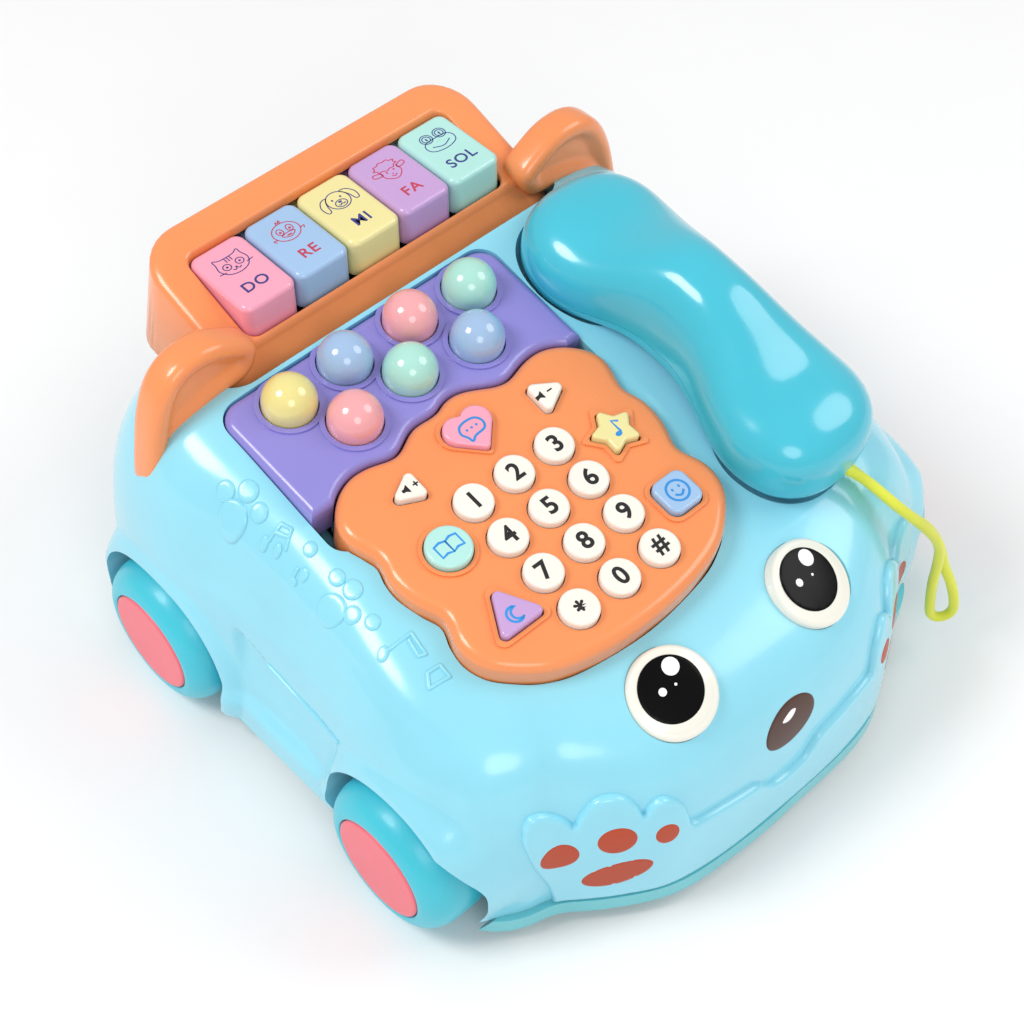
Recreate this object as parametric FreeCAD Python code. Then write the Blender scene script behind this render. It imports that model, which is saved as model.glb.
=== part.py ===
import FreeCAD, Part
import math
import os
from FreeCAD import Vector as V

# Toy telephone in the shape of a puppy-faced car, with number buttons, bubble buttons,
# five piano keys, a lift-off handset on a strap, and free-rolling wheels.
# Millimetres.  +Z is up, the puppy's face looks along -Y, and the ground is z = 0.

# ---------------------------------------------------------------- driving dimensions
WALL = 2.5                   # thickness of every moulded casing
FIT = 0.2                    # gap round a panel in its seat
RUNNING = 0.05               # radial play of a turning fit

BODY_LOW, BODY_HIGH = 6.0, 11.5          # the darker rim of the base shell

WHEEL_RADIUS = 24.0
WHEEL_FACE = 103.5                        # outer face of a wheel, from the middle
WHEEL_INNER = 79.5
AXLE_Y = {"front": -48.4, "rear": 56.0}
AXLE_RADIUS = 2.0
ARCH_RADIUS = 28.6
WELL_INNER = 76.0                         # inner wall of a wheel well
HUB_CAP_RADIUS = 16.1

KEYPAD_TILT = 9.67                        # the button deck falls towards the face
KEYPAD_POINT = V(-19.85, -34.4, 92.3)     # middle of the number buttons, at their tops
BUTTON_PITCH_X, BUTTON_PITCH_Y = 15.0, 14.0
BUTTON_RADIUS = 5.7
BUTTON_PROUD = 2.5
BUTTON_TRAVEL = 1.6
BUTTON_GAP = 0.35
PLATE_LOW = -BUTTON_PROUD - WALL          # underside of the button plates
FLANGE_TOP, FLANGE_LOW = PLATE_LOW - 0.3, PLATE_LOW - 1.4
MAT_TOP, MAT_LOW = -9.0, -10.4
BOARD_LOW = MAT_LOW - 1.6
SKIRT_LOW = -16.0                         # foot of the panels' walls

DOME_RADIUS = 8.0
DOME_CENTRE_H = -0.8
DOME_TRAVEL = 2.4
DOME_PANEL_TOP = -3.0
DOME_PANEL_LEFT, DOME_PANEL_RIGHT, DOME_PANEL_FRONT, DOME_PANEL_BACK = -51.0, 48.6, 45.5, 87.6
DOME_WALL = 0.8                           # panel wall where it is relieved behind the domes

KEY_PITCH, KEY_WIDTH = 19.3, 18.5
KEY_FRONT, KEY_BACK, KEY_TOP, KEY_LOW = 65.2, 92.8, 118.0, 105.4
KEY_HINGE_Y, KEY_HINGE_Z, KEY_ROD_RADIUS = 96.5, 109.4, 1.25
BEZEL_FRONT, BEZEL_BACK, BEZEL_FRONT_Z, BEZEL_TILT = 62.5, 103.0, 107.9, 20.0
HOUSING_LOW = 93.4

HANDSET_CENTRE = V(73.0, 24.8, 0.5)       # on the keypad plane, at the widest level
HANDSET_LENGTH = 121.0
HANDSET_HALF_END, HANDSET_HALF_GRIP = 23.1, 15.9
HANDSET_TOP_END, HANDSET_TOP_GRIP = 15.6, 28.0
HANDSET_LOW_END, HANDSET_LOW_GRIP = 15.8, 1.5
HANDSET_GAP = 1.1

STRAP_RADIUS = 1.6

CELL_RADIUS, CELL_LENGTH, CELL_PITCH = 7.1, 49.5, 15.2

# Plan outline of the body: half of it, from the nose to the tail, on the +X side.
PLAN = [(0, -106), (24, -105.3), (42, -102.2), (54, -96), (63, -89.8), (68.5, -85.6), (72, -83.9),
        (77, -82.5), (83, -79.6), (88.5, -74.5), (93, -66), (97, -56), (98, -46), (96.5, -28),
        (93.6, -8), (93.4, 16), (96.5, 38), (98.5, 56), (96, 74), (89.5, 89), (77, 99.5), (56, 105), (0, 106)]

# Cross-sections of the body: y, deck height, deck half-width, shoulder (x, z),
# waist crease (x, z) and the half-width at the sill.
SECTIONS = [
    (-108, 34.0, 20, (34, 31.0), (46, 25.0), 60),
    (-104, 49.0, 30, (46, 43.0), (60, 33.0), 74),
    (-99, 57.5, 36, (54, 50.0), (69, 40.0), 84),
    (-92, 64.0, 40, (60, 56.0), (77, 44.0), 92),
    (-81.5, 70.9, 48, (68, 63.0), (86, 50.0), 98),
    (-62.5, 76.6, 57, (76, 69.0), (91, 54.0), 100),
    (-32.5, 83.7, 62, (80, 76.0), (91.5, 55.0), 100),
    (-2.5, 90.8, 65, (81, 84.0), (92, 54.0), 100),
    (27.5, 97.9, 66, (82, 91.0), (92.5, 58.0), 100),
    (54.5, 104.2, 66, (82, 98.0), (92.3, 82.0), 100),
    (75.5, 103.4, 64, (81, 95.0), (92, 66.0), 99),
    (95.5, 97.4, 60, (76, 88.0), (88, 60.0), 95),
    (109.5, 89.4, 56, (71, 80.0), (80, 58.0), 88),
]

# Bear-head outline of the button panel on its own plane, +X half, from crown to chin.
BEAR = [(0, 51.5), (11, 50.6), (20.5, 46.8), (27, 48.2), (35, 48.9), (43.5, 44.6),
        (48.4, 35.8), (46.9, 28.5), (45.9, 24), (47.2, 19), (47.5, 13.5), (45.8, 6),
        (43.9, 0), (45.8, -6), (46.4, -12), (44.4, -18), (40, -23), (33, -28.3),
        (22, -32.3), (0, -34.6)]

# One ear seen from the front: outer rim, tip and the edge that lies on the body.
EAR = [(-52, 111.4), (-60, 117.9), (-68, 120.9), (-77, 120.4), (-84.5, 115.4), (-89.5, 105.4),
       (-92.5, 92.4), (-94, 81.4), (-91.5, 77.9), (-88.5, 79.9), (-84, 88.4), (-76, 96.4),
       (-66, 100.4), (-54, 102.4)]
EAR_DISH = [(-62, 110.4), (-70, 114.4), (-78, 113.4), (-84, 106.4), (-87, 94.4), (-84, 93.4),
            (-77, 100.4), (-68, 104.4)]
EAR_FRONT, EAR_BACK = 57.5, 70.5
EAR_LAYERS = [(EAR_FRONT, 2.0), (EAR_FRONT + 0.6, 0.9), (EAR_FRONT + 2, 0), (EAR_BACK - 3, 0),
              (EAR_BACK - 1, 1.0), (EAR_BACK, 2.6)]

# Strap route from the handset's end, over the fender, round its loop and back.
STRAP = [V(56.8, -67.5, 82.0), V(59.4, -71.2, 79.9), V(61.0, -75.8, 77.6), V(62.8, -81.0, 74.4),
         V(66.2, -85.6, 69.4), V(71.8, -88.4, 61.6), V(77.6, -90.8, 51.8), V(78.8, -90.9, 41.6),
         V(79.2, -90.4, 31.0), V(79.8, -90.8, 21.5), V(80.5, -91.5, 14.9), V(83.7, -93.9, 13.3),
         V(86.4, -95.7, 15.9), V(85.9, -95.1, 22.5), V(84.6, -93.3, 30.0), V(82.4, -90.9, 37.6),
         V(80.4, -89.3, 47.2), V(74.8, -87.6, 58.8), V(68.2, -84.4, 66.6), V(64.8, -79.7, 71.4),
         V(63.2, -74.4, 74.4), V(61.6, -68.6, 76.9), V(59.4, -64.4, 80.0)]


# ---------------------------------------------------------------- small helpers
def box(x0, x1, y0, y1, z0, z1):
    return Part.makeBox(x1 - x0, y1 - y0, z1 - z0, V(x0, y0, z0))


def rod(radius, start, end):
    axis = end - start
    return Part.makeCylinder(radius, axis.Length, start, axis)


def curve_through(points, closed):
    curve = Part.BSplineCurve()
    curve.interpolate(Points=points, PeriodicFlag=closed)
    return curve.toShape()


def both_halves(half):
    """Closed outline from its +X half, whose first and last points lie on the centre line."""
    mirrored = [(-x, y) for x, y in reversed(half[1:-1])]
    return list(half) + mirrored


def turns_left(points):
    twice_area = sum(a[0] * b[1] - b[0] * a[1] for a, b in zip(points, points[1:] + points[:1]))
    return twice_area > 0


def grown(points, distance):
    """The same closed outline moved outwards by a distance, or inwards if negative."""
    side = 1 if turns_left(points) else -1
    moved = []
    for before, here, after in zip(points[-1:] + points[:-1], points, points[1:] + points[:1]):
        along = V(after[0] - before[0], after[1] - before[1], 0).normalize()
        moved.append((here[0] + side * distance * along.y, here[1] - side * distance * along.x))
    return moved


def prism(outline, low, high):
    """Straight-sided solid on a smooth closed outline."""
    wire = Part.Wire([curve_through([V(x, y, low) for x, y in outline], True)])
    return Part.Face(wire).extrude(V(0, 0, high - low))


def polygon_wire(points):
    return Part.makePolygon(list(points) + [points[0]])


def rounded_rectangle(x0, x1, y0, y1, front_radius, back_radius, height):
    """Wire of four lines and four arcs; height gives z at each y."""
    def point(x, y):
        return V(x, y, height(y))

    corners = [(x1 - front_radius, y0 + front_radius, front_radius, -90),
               (x1 - back_radius, y1 - back_radius, back_radius, 0),
               (x0 + back_radius, y1 - back_radius, back_radius, 90),
               (x0 + front_radius, y0 + front_radius, front_radius, 180)]
    arcs = []
    for cx, cy, radius, start in corners:
        turned = [math.radians(start + step) for step in (0, 45, 90)]
        spots = [point(cx + radius * math.cos(a), cy + radius * math.sin(a)) for a in turned]
        arcs.append(spots)
    edges = []
    for index, spots in enumerate(arcs):
        edges.append(Part.Arc(*spots).toShape())
        edges.append(Part.LineSegment(spots[2], arcs[(index + 1) % 4][0]).toShape())
    return Part.Wire(edges)


def plate(x0, x1, y0, y1, radius, low, high):
    wire = rounded_rectangle(x0, x1, y0, y1, radius, radius, lambda y: low)
    return Part.Face(wire).extrude(V(0, 0, high - low))


def level_edges(shape, z):
    return [e for e in shape.Edges if abs(e.BoundBox.ZMin - z) < 0.01 and abs(e.BoundBox.ZMax - z) < 0.01]


def round_level(shape, z, radius):
    return largest(shape.makeFillet(radius, level_edges(shape, z)))


def largest(shape):
    return max(shape.Solids, key=lambda solid: solid.Volume)


def on_deck(shape):
    """Carry a shape from the keypad's own axes to its tilted place on the body."""
    placed = shape.copy()
    turn = FreeCAD.Rotation(V(1, 0, 0), KEYPAD_TILT)
    placed.Placement = FreeCAD.Placement(KEYPAD_POINT, turn).multiply(placed.Placement)
    return placed


def mirrored_x(shape):
    return shape.mirror(V(0, 0, 0), V(1, 0, 0))


def save(name, shape):
    shape.exportStep("parts/%s.step" % name)


# ---------------------------------------------------------------- body
def body_loft(inset, low):
    """Solid through the body's cross-sections, drawn in by inset all round."""
    wires = []
    for y, deck, flat, shoulder, crease, sill in SECTIONS:
        between = ((sill + crease[0]) / 2, (low + crease[1]) / 2)
        half = [(sill, low), between, crease, shoulder, (flat, deck - 1.0)]
        right = [V(x - inset, y, z - (inset if z > low else 0)) for x, z in half]
        left = [V(-p.x, p.y, p.z) for p in right]
        top = curve_through(right + [V(0, y, deck - inset)] + left[::-1], False)
        floor = Part.LineSegment(left[0], right[0]).toShape()
        wires.append(Part.Wire([top, floor]))
    return Part.makeLoft(wires, True, False)


def fender(end):
    axle = V(0, AXLE_Y[end], WHEEL_RADIUS)
    drum = rod(ARCH_RADIUS + 7, axle + V(-98.5, 0, 0), axle + V(98.5, 0, 0))
    return drum.makeFillet(9.0, [e for e in drum.Edges if e.Curve.TypeId == "Part::GeomCircle"])


def wheel_well(end, radius, inner):
    axle = V(0, AXLE_Y[end], WHEEL_RADIUS)
    right = rod(radius, axle + V(inner, 0, 0), axle + V(120, 0, 0))
    return right.fuse(mirrored_x(right))


def body_outer():
    outer = body_loft(0, BODY_HIGH).fuse([fender("front"), fender("rear")])
    return largest(outer.common(prism(both_halves(PLAN), BODY_HIGH, 140)))


def housing_block(grow, low):
    """Piano housing from its foot on the body to its sloping top, without the ears."""
    slope = math.tan(math.radians(BEZEL_TILT))

    def bezel(y):
        return BEZEL_FRONT_Z + slope * (y - BEZEL_FRONT) + grow

    def foot(y):
        return low

    top = rounded_rectangle(-58 - grow, 58 + grow, BEZEL_FRONT - grow, BEZEL_BACK + grow, 7, 14, bezel)
    bottom = rounded_rectangle(-64 - grow, 64 + grow, 54.5 - grow, 105.1 + grow, 9, 14, foot)
    return Part.makeLoft([bottom, top], True, True)


def ear(grow):
    """Left ear: a thick flap with rounded rims and a shallow dish in its front."""
    wires = []
    middle = (EAR_FRONT + EAR_BACK) / 2
    for y, inset in EAR_LAYERS:
        level = y + math.copysign(grow, y - middle)
        points = [V(x, level, z) for x, z in grown(EAR, grow - inset)]
        wires.append(Part.Wire([curve_through(points, True)]))
    flap = Part.makeLoft(wires, True, True)
    if grow == 0:
        dish = Part.Wire([curve_through([V(x, EAR_FRONT - 1, z) for x, z in EAR_DISH], True)])
        flap = flap.cut(Part.Face(dish).extrude(V(0, 3.5, 0)))
    return flap


def dome_panel_block(grow, low, high):
    panel = plate(DOME_PANEL_LEFT - grow, DOME_PANEL_RIGHT + grow, DOME_PANEL_FRONT - 14,
                  DOME_PANEL_BACK + grow, 7, low, high)
    return panel.cut(prism(grown(both_halves(BEAR), 0.6 - grow), low - 1, high + 1)).common(
        box(-60, 60, DOME_PANEL_FRONT - grow, 100, low - 1, high + 1))


def bear_block(grow, low, high):
    return prism(grown(both_halves(BEAR), grow), low, high)


def handset_ring(t, grow):
    """Cross-section of the receiver at t, which runs from -1 at its front end to 1."""
    reach = min(max((abs(t) - 0.05) / 0.6, 0), 1)
    blend = (1 - math.cos(math.pi * reach)) / 2
    nose = min(max((abs(t) - 0.62) / 0.38, 0), 1)
    cap = (1 - nose ** 2.4) ** (1 / 2.4)
    half = (HANDSET_HALF_GRIP + (HANDSET_HALF_END - HANDSET_HALF_GRIP) * blend) * cap + grow
    up = (HANDSET_TOP_GRIP + (HANDSET_TOP_END - HANDSET_TOP_GRIP) * blend) * cap ** 0.9 + grow
    down = (HANDSET_LOW_GRIP + (HANDSET_LOW_END - HANDSET_LOW_GRIP) * blend) * cap ** 0.6 + grow
    y = HANDSET_CENTRE.y + (HANDSET_LENGTH / 2 + grow) * t
    edges = []
    for start, height in ((0, up), (180, max(down, 0.4))):
        points = []
        for step in range(9):
            angle = math.radians(start + 22.5 * step)
            c, s = math.cos(angle), math.sin(angle)
            x = HANDSET_CENTRE.x + half * math.copysign(abs(c) ** 0.8, c)
            points.append(V(x, y, HANDSET_CENTRE.z + height * math.copysign(abs(s) ** 0.8, s)))
        way = V(0, 0, 1 if start == 0 else -1)
        arc = Part.BSplineCurve()
        arc.interpolate(Points=points, InitialTangent=way, FinalTangent=way * -1)
        edges.append(arc.toShape())
    return Part.Wire(edges)


def handset_solid(grow):
    """Bone-shaped receiver on the keypad's axes: full ends, a narrower raised grip."""
    stations = [-0.996 * math.cos(math.pi * step / 20) for step in range(21)]
    return Part.makeLoft([handset_ring(t, grow) for t in stations], True, False)


def eye_frame(side):
    """Where an eye sits on the bonnet, and the way it looks."""
    centre = V(side * 27.2, -83.1, 70.6)
    looks = V(side * 0.16, -0.50, 0.85).normalize()
    return centre, looks


def eye(side):
    centre, looks = eye_frame(side)
    disc = rod(13.0, centre - looks * 4.5, centre + looks * 2.6)
    rim = [e for e in disc.Edges if e.Curve.TypeId == "Part::GeomCircle"]
    outer = max(rim, key=lambda e: (e.CenterOfMass - centre).dot(looks))
    return disc.makeFillet(2.4, [outer])


POSTS = [(78, 2), (-78, 2), (44, -86), (-44, -86), (46, 92), (-46, 92)]


def cradle_relief():
    """Clearance for the handset's outer rear corner, just under its seam."""
    corner = rod(24.9, V(71.15, 64.2, -9.6), V(71.15, 64.2, -6.3))
    return on_deck(corner.common(box(80, 98, 57, 90, -10, -6)))


def upper_shell(outer):
    cavity = body_loft(WALL, BODY_HIGH - 4).common(prism(grown(both_halves(PLAN), -WALL), 0, 140))
    cavity = cavity.cut([wheel_well(end, ARCH_RADIUS + 2, WELL_INNER - 2) for end in AXLE_Y])
    shell = outer.cut(cavity)
    seats = [on_deck(bear_block(2.4, SKIRT_LOW - 2, 8)), on_deck(dome_panel_block(2.4, SKIRT_LOW - 2, 8)),
             on_deck(handset_solid(3.2)), housing_block(2.2, HOUSING_LOW - 2.5)]
    for side in (-1, 1):
        centre, looks = eye_frame(side)
        seats.append(rod(15.0, centre - looks * 7, centre + looks * 6))
    for x, y in POSTS:
        top = HOUSING_LOW - 1 if y > 60 else 140
        seats.append(rod(4.0, V(x, y, BODY_HIGH), V(x, y, top)))
    shell = shell.fuse([seat.common(outer) for seat in seats])
    hollows = [wheel_well(end, ARCH_RADIUS, WELL_INNER) for end in AXLE_Y]
    for end, y in AXLE_Y.items():
        hollows.append(box(-90, 90, y - 3.5, y + 3.5, 0, WHEEL_RADIUS + 3.5))
    for panel_block in (bear_block, dome_panel_block):
        hollows.append(on_deck(panel_block(FIT, SKIRT_LOW, 20)))
        hollows.append(on_deck(panel_block(-5, SKIRT_LOW - 5, 20)))
    hollows += [housing_block(FIT, HOUSING_LOW), housing_block(-6, HOUSING_LOW - 5),
                ear(FIT), mirrored_x(ear(FIT))]
    for side in (-1, 1):
        centre, looks = eye_frame(side)
        hollows.append(rod(13.1, centre - looks * 4.5, centre + looks * 8))
    for x, y in POSTS:
        hollows.append(rod(1.25, V(x, y, 0), V(x, y, 24)))
    shell = largest(shell.cut(hollows)).cut(on_deck(handset_solid(HANDSET_GAP)))
    return largest(largest(shell).cut(cradle_relief()))


BATTERY_BAY = (-26.5, 26.5, -34.0, 26.0)      # x and y limits inside the bay's walls
SPEAKER_Y, SPEAKER_RADIUS = 80.0, 20.0
SWITCH_X, SWITCH_Y = 46.0, 4.0


def base_shell():
    outline = both_halves(PLAN)
    floor = prism(outline, BODY_LOW, BODY_LOW + WALL)
    band = prism(outline, BODY_LOW, BODY_HIGH).cut(prism(grown(outline, -WALL), 0, 20))
    tongue = prism(grown(outline, -WALL - FIT), BODY_LOW, BODY_HIGH + 4)
    tongue = tongue.cut(prism(grown(outline, -2 * WALL), 0, 20))
    base = floor.fuse([band, tongue])
    base = base.cut([wheel_well(end, ARCH_RADIUS + 2 + FIT, WELL_INNER - 2 - FIT) for end in AXLE_Y])
    x0, x1, y0, y1 = BATTERY_BAY
    bay = box(x0 - 2, x1 + 2, y0 - 2, y1 + 2, BODY_LOW, 27)
    holders = [bay, rod(SPEAKER_RADIUS + 2.2, V(0, SPEAKER_Y, BODY_LOW), V(0, SPEAKER_Y, 16))]
    for end, y in AXLE_Y.items():
        for x in (-66, 66):
            holders.append(box(x - 4, x + 4, y - 5, y + 5, BODY_LOW, WHEEL_RADIUS + 5))
    for x, y in POSTS:
        holders.append(rod(5.0, V(x, y, BODY_LOW), V(x, y, BODY_HIGH)))
    base = base.fuse(holders)
    hollows = [box(x0, x1, y0, y1, 0, 25), plate(x0 - 4, x1 + 4, y0 - 4, y1 + 4, 4, 0, BODY_LOW + 1.4),
               rod(SPEAKER_RADIUS + FIT, V(0, SPEAKER_Y, BODY_LOW + WALL), V(0, SPEAKER_Y, 30)),
               box(SWITCH_X - 5, SWITCH_X + 5, SWITCH_Y - 2.3, SWITCH_Y + 2.3, 0, 9)]
    for y in AXLE_Y.values():
        hollows.append(rod(AXLE_RADIUS + RUNNING, V(-80, y, WHEEL_RADIUS), V(80, y, WHEEL_RADIUS)))
    for slot in range(-3, 4):
        y = SPEAKER_Y + slot * 4.5
        half = math.sqrt((SPEAKER_RADIUS - 4) ** 2 - (slot * 4.5) ** 2)
        hollows.append(box(-half, half, y - 1, y + 1, 0, 9))
    for x, y in POSTS:
        hollows.append(rod(1.6, V(x, y, 0), V(x, y, 20)))
        hollows.append(rod(3.2, V(x, y, 0), V(x, y, BODY_LOW + 1.4)))
    return largest(base.cut(hollows))


def screws_from_below(places, head_z, length):
    """Cross-headed screws driven upwards."""
    made = []
    for x, y in places:
        screw = rod(3.0, V(x, y, head_z), V(x, y, head_z + 1.4))
        screw = screw.fuse(rod(1.25, V(x, y, head_z + 1.4), V(x, y, head_z + length)))
        for a, b in ((2.0, 0.4), (0.4, 2.0)):
            screw = screw.cut(box(x - a, x + a, y - b, y + b, head_z - 1, head_z + 0.8))
        made.append(largest(screw))
    return Part.makeCompound(made)


def battery_door():
    x0, x1, y0, y1 = BATTERY_BAY
    g = 4 - FIT
    door = plate(x0 - g, x1 + g, y0 - g, y1 + g, 4, BODY_LOW, BODY_LOW + 1.4)
    door = door.fuse(plate(x0 + 0.4, x1 - 0.4, y0 + 0.4, y1 - 0.4, 2, BODY_LOW + 1.4, BODY_LOW + 2.4))
    for rib in range(-3, 4):
        door = door.cut(box(-10, 10, rib * 4 - 4.6, rib * 4 - 3.4, 0, BODY_LOW + 0.6))
    return largest(door)


def batteries():
    made = []
    for index, x in enumerate((-CELL_PITCH, 0, CELL_PITCH)):
        way = 1 if index % 2 else -1
        middle = V(x, -4, 16.6)
        cell = rod(CELL_RADIUS, middle - V(0, way * 24.6, 0), middle + V(0, way * 24.0, 0))
        nub = rod(2.6, middle + V(0, way * 24.0, 0), middle + V(0, way * 25.4, 0))
        made.append(cell.fuse(nub))
    return Part.makeCompound(made)


def battery_contacts():
    made = []
    for x in (-CELL_PITCH, 0, CELL_PITCH):
        made.append(box(x - 5.5, x + 5.5, -34.0, -33.5, 11, 23))
        made.append(box(x - 5.5, x + 5.5, 25.5, 26.0, 11, 23))
    return Part.makeCompound(made)


def speaker():
    z = BODY_LOW + WALL
    centre = V(0, SPEAKER_Y, 0)
    frame = Part.makeCone(SPEAKER_RADIUS - 0.1, 11, 9, centre + V(0, 0, z + 2.5))
    frame = frame.fuse(rod(SPEAKER_RADIUS - 0.1, centre + V(0, 0, z), centre + V(0, 0, z + 2.5)))
    magnet = rod(10, centre + V(0, 0, z + 11.5), centre + V(0, 0, z + 18))
    cone = Part.makeCone(SPEAKER_RADIUS - 2, 5, 6, centre + V(0, 0, z - 0.01))
    return largest(frame.fuse(magnet).cut(cone))


def power_switch():
    """Slider under the floor; it moves along X between off and on."""
    x, y = SWITCH_X - 2.0, SWITCH_Y
    knob = box(x - 2.5, x + 2.5, y - 2, y + 2, BODY_LOW - 0.8, BODY_LOW + WALL + 0.2)
    carriage = box(x - 4.5, x + 4.5, y - 4, y + 4, BODY_LOW + WALL + 0.2, BODY_LOW + WALL + 2.4)
    return knob.fuse(carriage).removeSplitter()


# ---------------------------------------------------------------- buttons on the deck
def polygon_prism(points, low, high, corner):
    """Straight-sided polygon with its upright edges rounded."""
    solid = Part.Face(polygon_wire([V(x, y, low) for x, y in points])).extrude(V(0, 0, high - low))
    upright = [e for e in solid.Edges if e.BoundBox.ZLength > (high - low) / 2]
    return largest(solid.makeFillet(corner, upright))


def regular(x, y, radius, count, start):
    step = 360.0 / count
    turned = [math.radians(start + step * i) for i in range(count)]
    return [(x + radius * math.cos(a), y + radius * math.sin(a)) for a in turned]


def star_points(x, y, radius):
    points = []
    for i in range(10):
        angle = math.radians(90 + 36 * i)
        reach = radius if i % 2 == 0 else radius * 0.58
        points.append((x + reach * math.cos(angle), y + reach * math.sin(angle)))
    return points


def heart_prism(grow, low, high):
    """Two half-circles on the sides of a square that stands on its corner."""
    x, y, half_width = HEART
    s = (half_width + grow) / 1.207
    y = y - 0.1 * s
    tip, notch = V(x, y - s, low), V(x, y + s, low)
    right, left = V(x + s, y, low), V(x - s, y, low)
    edges = [Part.LineSegment(tip, right).toShape(), Part.Arc(right, V(x + s, y + s, low), notch).toShape(),
             Part.Arc(notch, V(x - s, y + s, low), left).toShape(), Part.LineSegment(left, tip).toShape()]
    solid = Part.Face(Part.Wire(edges)).extrude(V(0, 0, high - low))
    upright = [e for e in solid.Edges if e.BoundBox.ZLength > 0.5 and abs(e.CenterOfMass.x - x) < 0.01]
    return largest(solid.makeFillet(1.2, upright))


HEART = (0.0, 38.0, 7.8)
STAR = (31.5, 14.0, 7.9)
ROUND_BIG = (-30.0, 14.2, 6.7)
TRIANGLE = (-29.9, -11.4, 9.4)
SQUARE = (30.9, -11.5, 5.8)
VOLUME_UP = [(-22.4, 40.2), (-33.0, 34.3), (-22.7, 29.6)]
VOLUME_DOWN = [(21.4, 41.2), (21.0, 29.2), (31.8, 34.8)]


def spread(points, grow):
    """A polygon scaled about its middle so that its sides move out by grow."""
    cx = sum(p[0] for p in points) / len(points)
    cy = sum(p[1] for p in points) / len(points)
    before = points[-1:] + points[:-1]
    inner = min(abs((b[0] - a[0]) * (a[1] - cy) - (a[0] - cx) * (b[1] - a[1]))
                / math.hypot(b[0] - a[0], b[1] - a[1]) for a, b in zip(before, points))
    scale = (inner + grow) / inner
    return [(cx + (px - cx) * scale, cy + (py - cy) * scale) for px, py in points]


def button_prism(kind, grow, low, high):
    """Outline of one button, moved out by grow, between two heights above its plane."""
    if kind == "heart_button":
        return heart_prism(grow, low, high)
    if kind == "round_button":
        x, y, radius = ROUND_BIG
        return rod(radius + grow, V(x, y, low), V(x, y, high))
    if kind == "star_button":
        return polygon_prism(spread(star_points(*STAR), grow), low, high, 1.1)
    if kind == "square_button":
        x, y, half = SQUARE
        half += grow
        return plate(x - half, x + half, y - half, y + half, 3 + grow / 2, low, high)
    corner = 1.6 + grow / 2
    if kind == "triangle_button":
        return polygon_prism(spread(regular(*TRIANGLE, 3, 90), grow), low, high, corner)
    if kind == "volume_up_button":
        return polygon_prism(spread(VOLUME_UP, grow), low, high, corner)
    if kind == "volume_down_button":
        return polygon_prism(spread(VOLUME_DOWN, grow), low, high, corner)
    x, y = NUMBER_PLACES[kind]
    return rod(BUTTON_RADIUS + grow, V(x, y, low), V(x, y, high))


NUMBER_ROWS = [("1", "2", "3"), ("4", "5", "6"), ("7", "8", "9"), ("asterisk", "0", "hash")]
NUMBER_PLACES = {}
for row, names in enumerate(NUMBER_ROWS):
    for column, name in enumerate(names):
        NUMBER_PLACES["button_" + name] = ((column - 1) * BUTTON_PITCH_X, (1.5 - row) * BUTTON_PITCH_Y)
SHAPE_BUTTONS = ["heart_button", "star_button", "round_button", "triangle_button", "square_button"]
VOLUME_BUTTONS = ["volume_up_button", "volume_down_button"]
ALL_BUTTONS = list(NUMBER_PLACES) + SHAPE_BUTTONS + VOLUME_BUTTONS


def button(kind):
    top = 0.3 if kind in SHAPE_BUTTONS else 0.0
    cap = round_level(button_prism(kind, 0, FLANGE_LOW, top), top, 1.0)
    return cap.fuse(button_prism(kind, 0.9, FLANGE_LOW, FLANGE_TOP)).removeSplitter()


PANEL_POSTS = [(-40, 38), (40, 38), (-32, -24.5), (32, -24.5), (-38, 1), (38, 1)]


def keypad_panel():
    top = -BUTTON_PROUD
    cover = round_level(bear_block(0, SKIRT_LOW, top), top, 3.5)
    cover = cover.cut(bear_block(-WALL, SKIRT_LOW - 1, PLATE_LOW))
    raised = [button_prism(kind, 1.5, PLATE_LOW, top + 0.7) for kind in SHAPE_BUTTONS]
    posts = [rod(2.5, V(x, y, MAT_LOW), V(x, y, PLATE_LOW)) for x, y in PANEL_POSTS]
    holes = [button_prism(kind, BUTTON_GAP, PLATE_LOW - 1, 5) for kind in ALL_BUTTONS]
    return largest(cover.fuse(raised + posts).cut(holes))


def keypad_mat():
    """Rubber sheet with a low dome under every button."""
    mat = plate(-36.8, 36.8, -27.5, 44, 5, MAT_LOW, MAT_LOW + 0.8)
    middles = [button_prism(kind, 0, -1, 1).BoundBox.Center for kind in ALL_BUTTONS]
    domes = [rod(3.0, V(p.x, p.y, MAT_LOW), V(p.x, p.y, MAT_TOP)) for p in middles]
    holes = [rod(3.2, V(x, y, MAT_LOW - 1), V(x, y, MAT_TOP)) for x, y in PANEL_POSTS]
    inside = bear_block(-WALL - 0.5, MAT_LOW - 1, MAT_TOP + 1)
    return largest(mat.fuse(domes).cut(holes).common(inside))


def circuit_board():
    board = plate(-42, 42, -28, 44.5, 4, BOARD_LOW, MAT_LOW)
    return largest(board.common(bear_block(-WALL - 0.5, BOARD_LOW - 1, MAT_LOW + 1)))


DOMES = [(-33.2, 77.1), (-12.0, 78.7), (12.0, 78.7), (33.2, 77.1),
         (-22.6, 61.6), (0.0, 64.6), (22.6, 61.6)]


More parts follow.
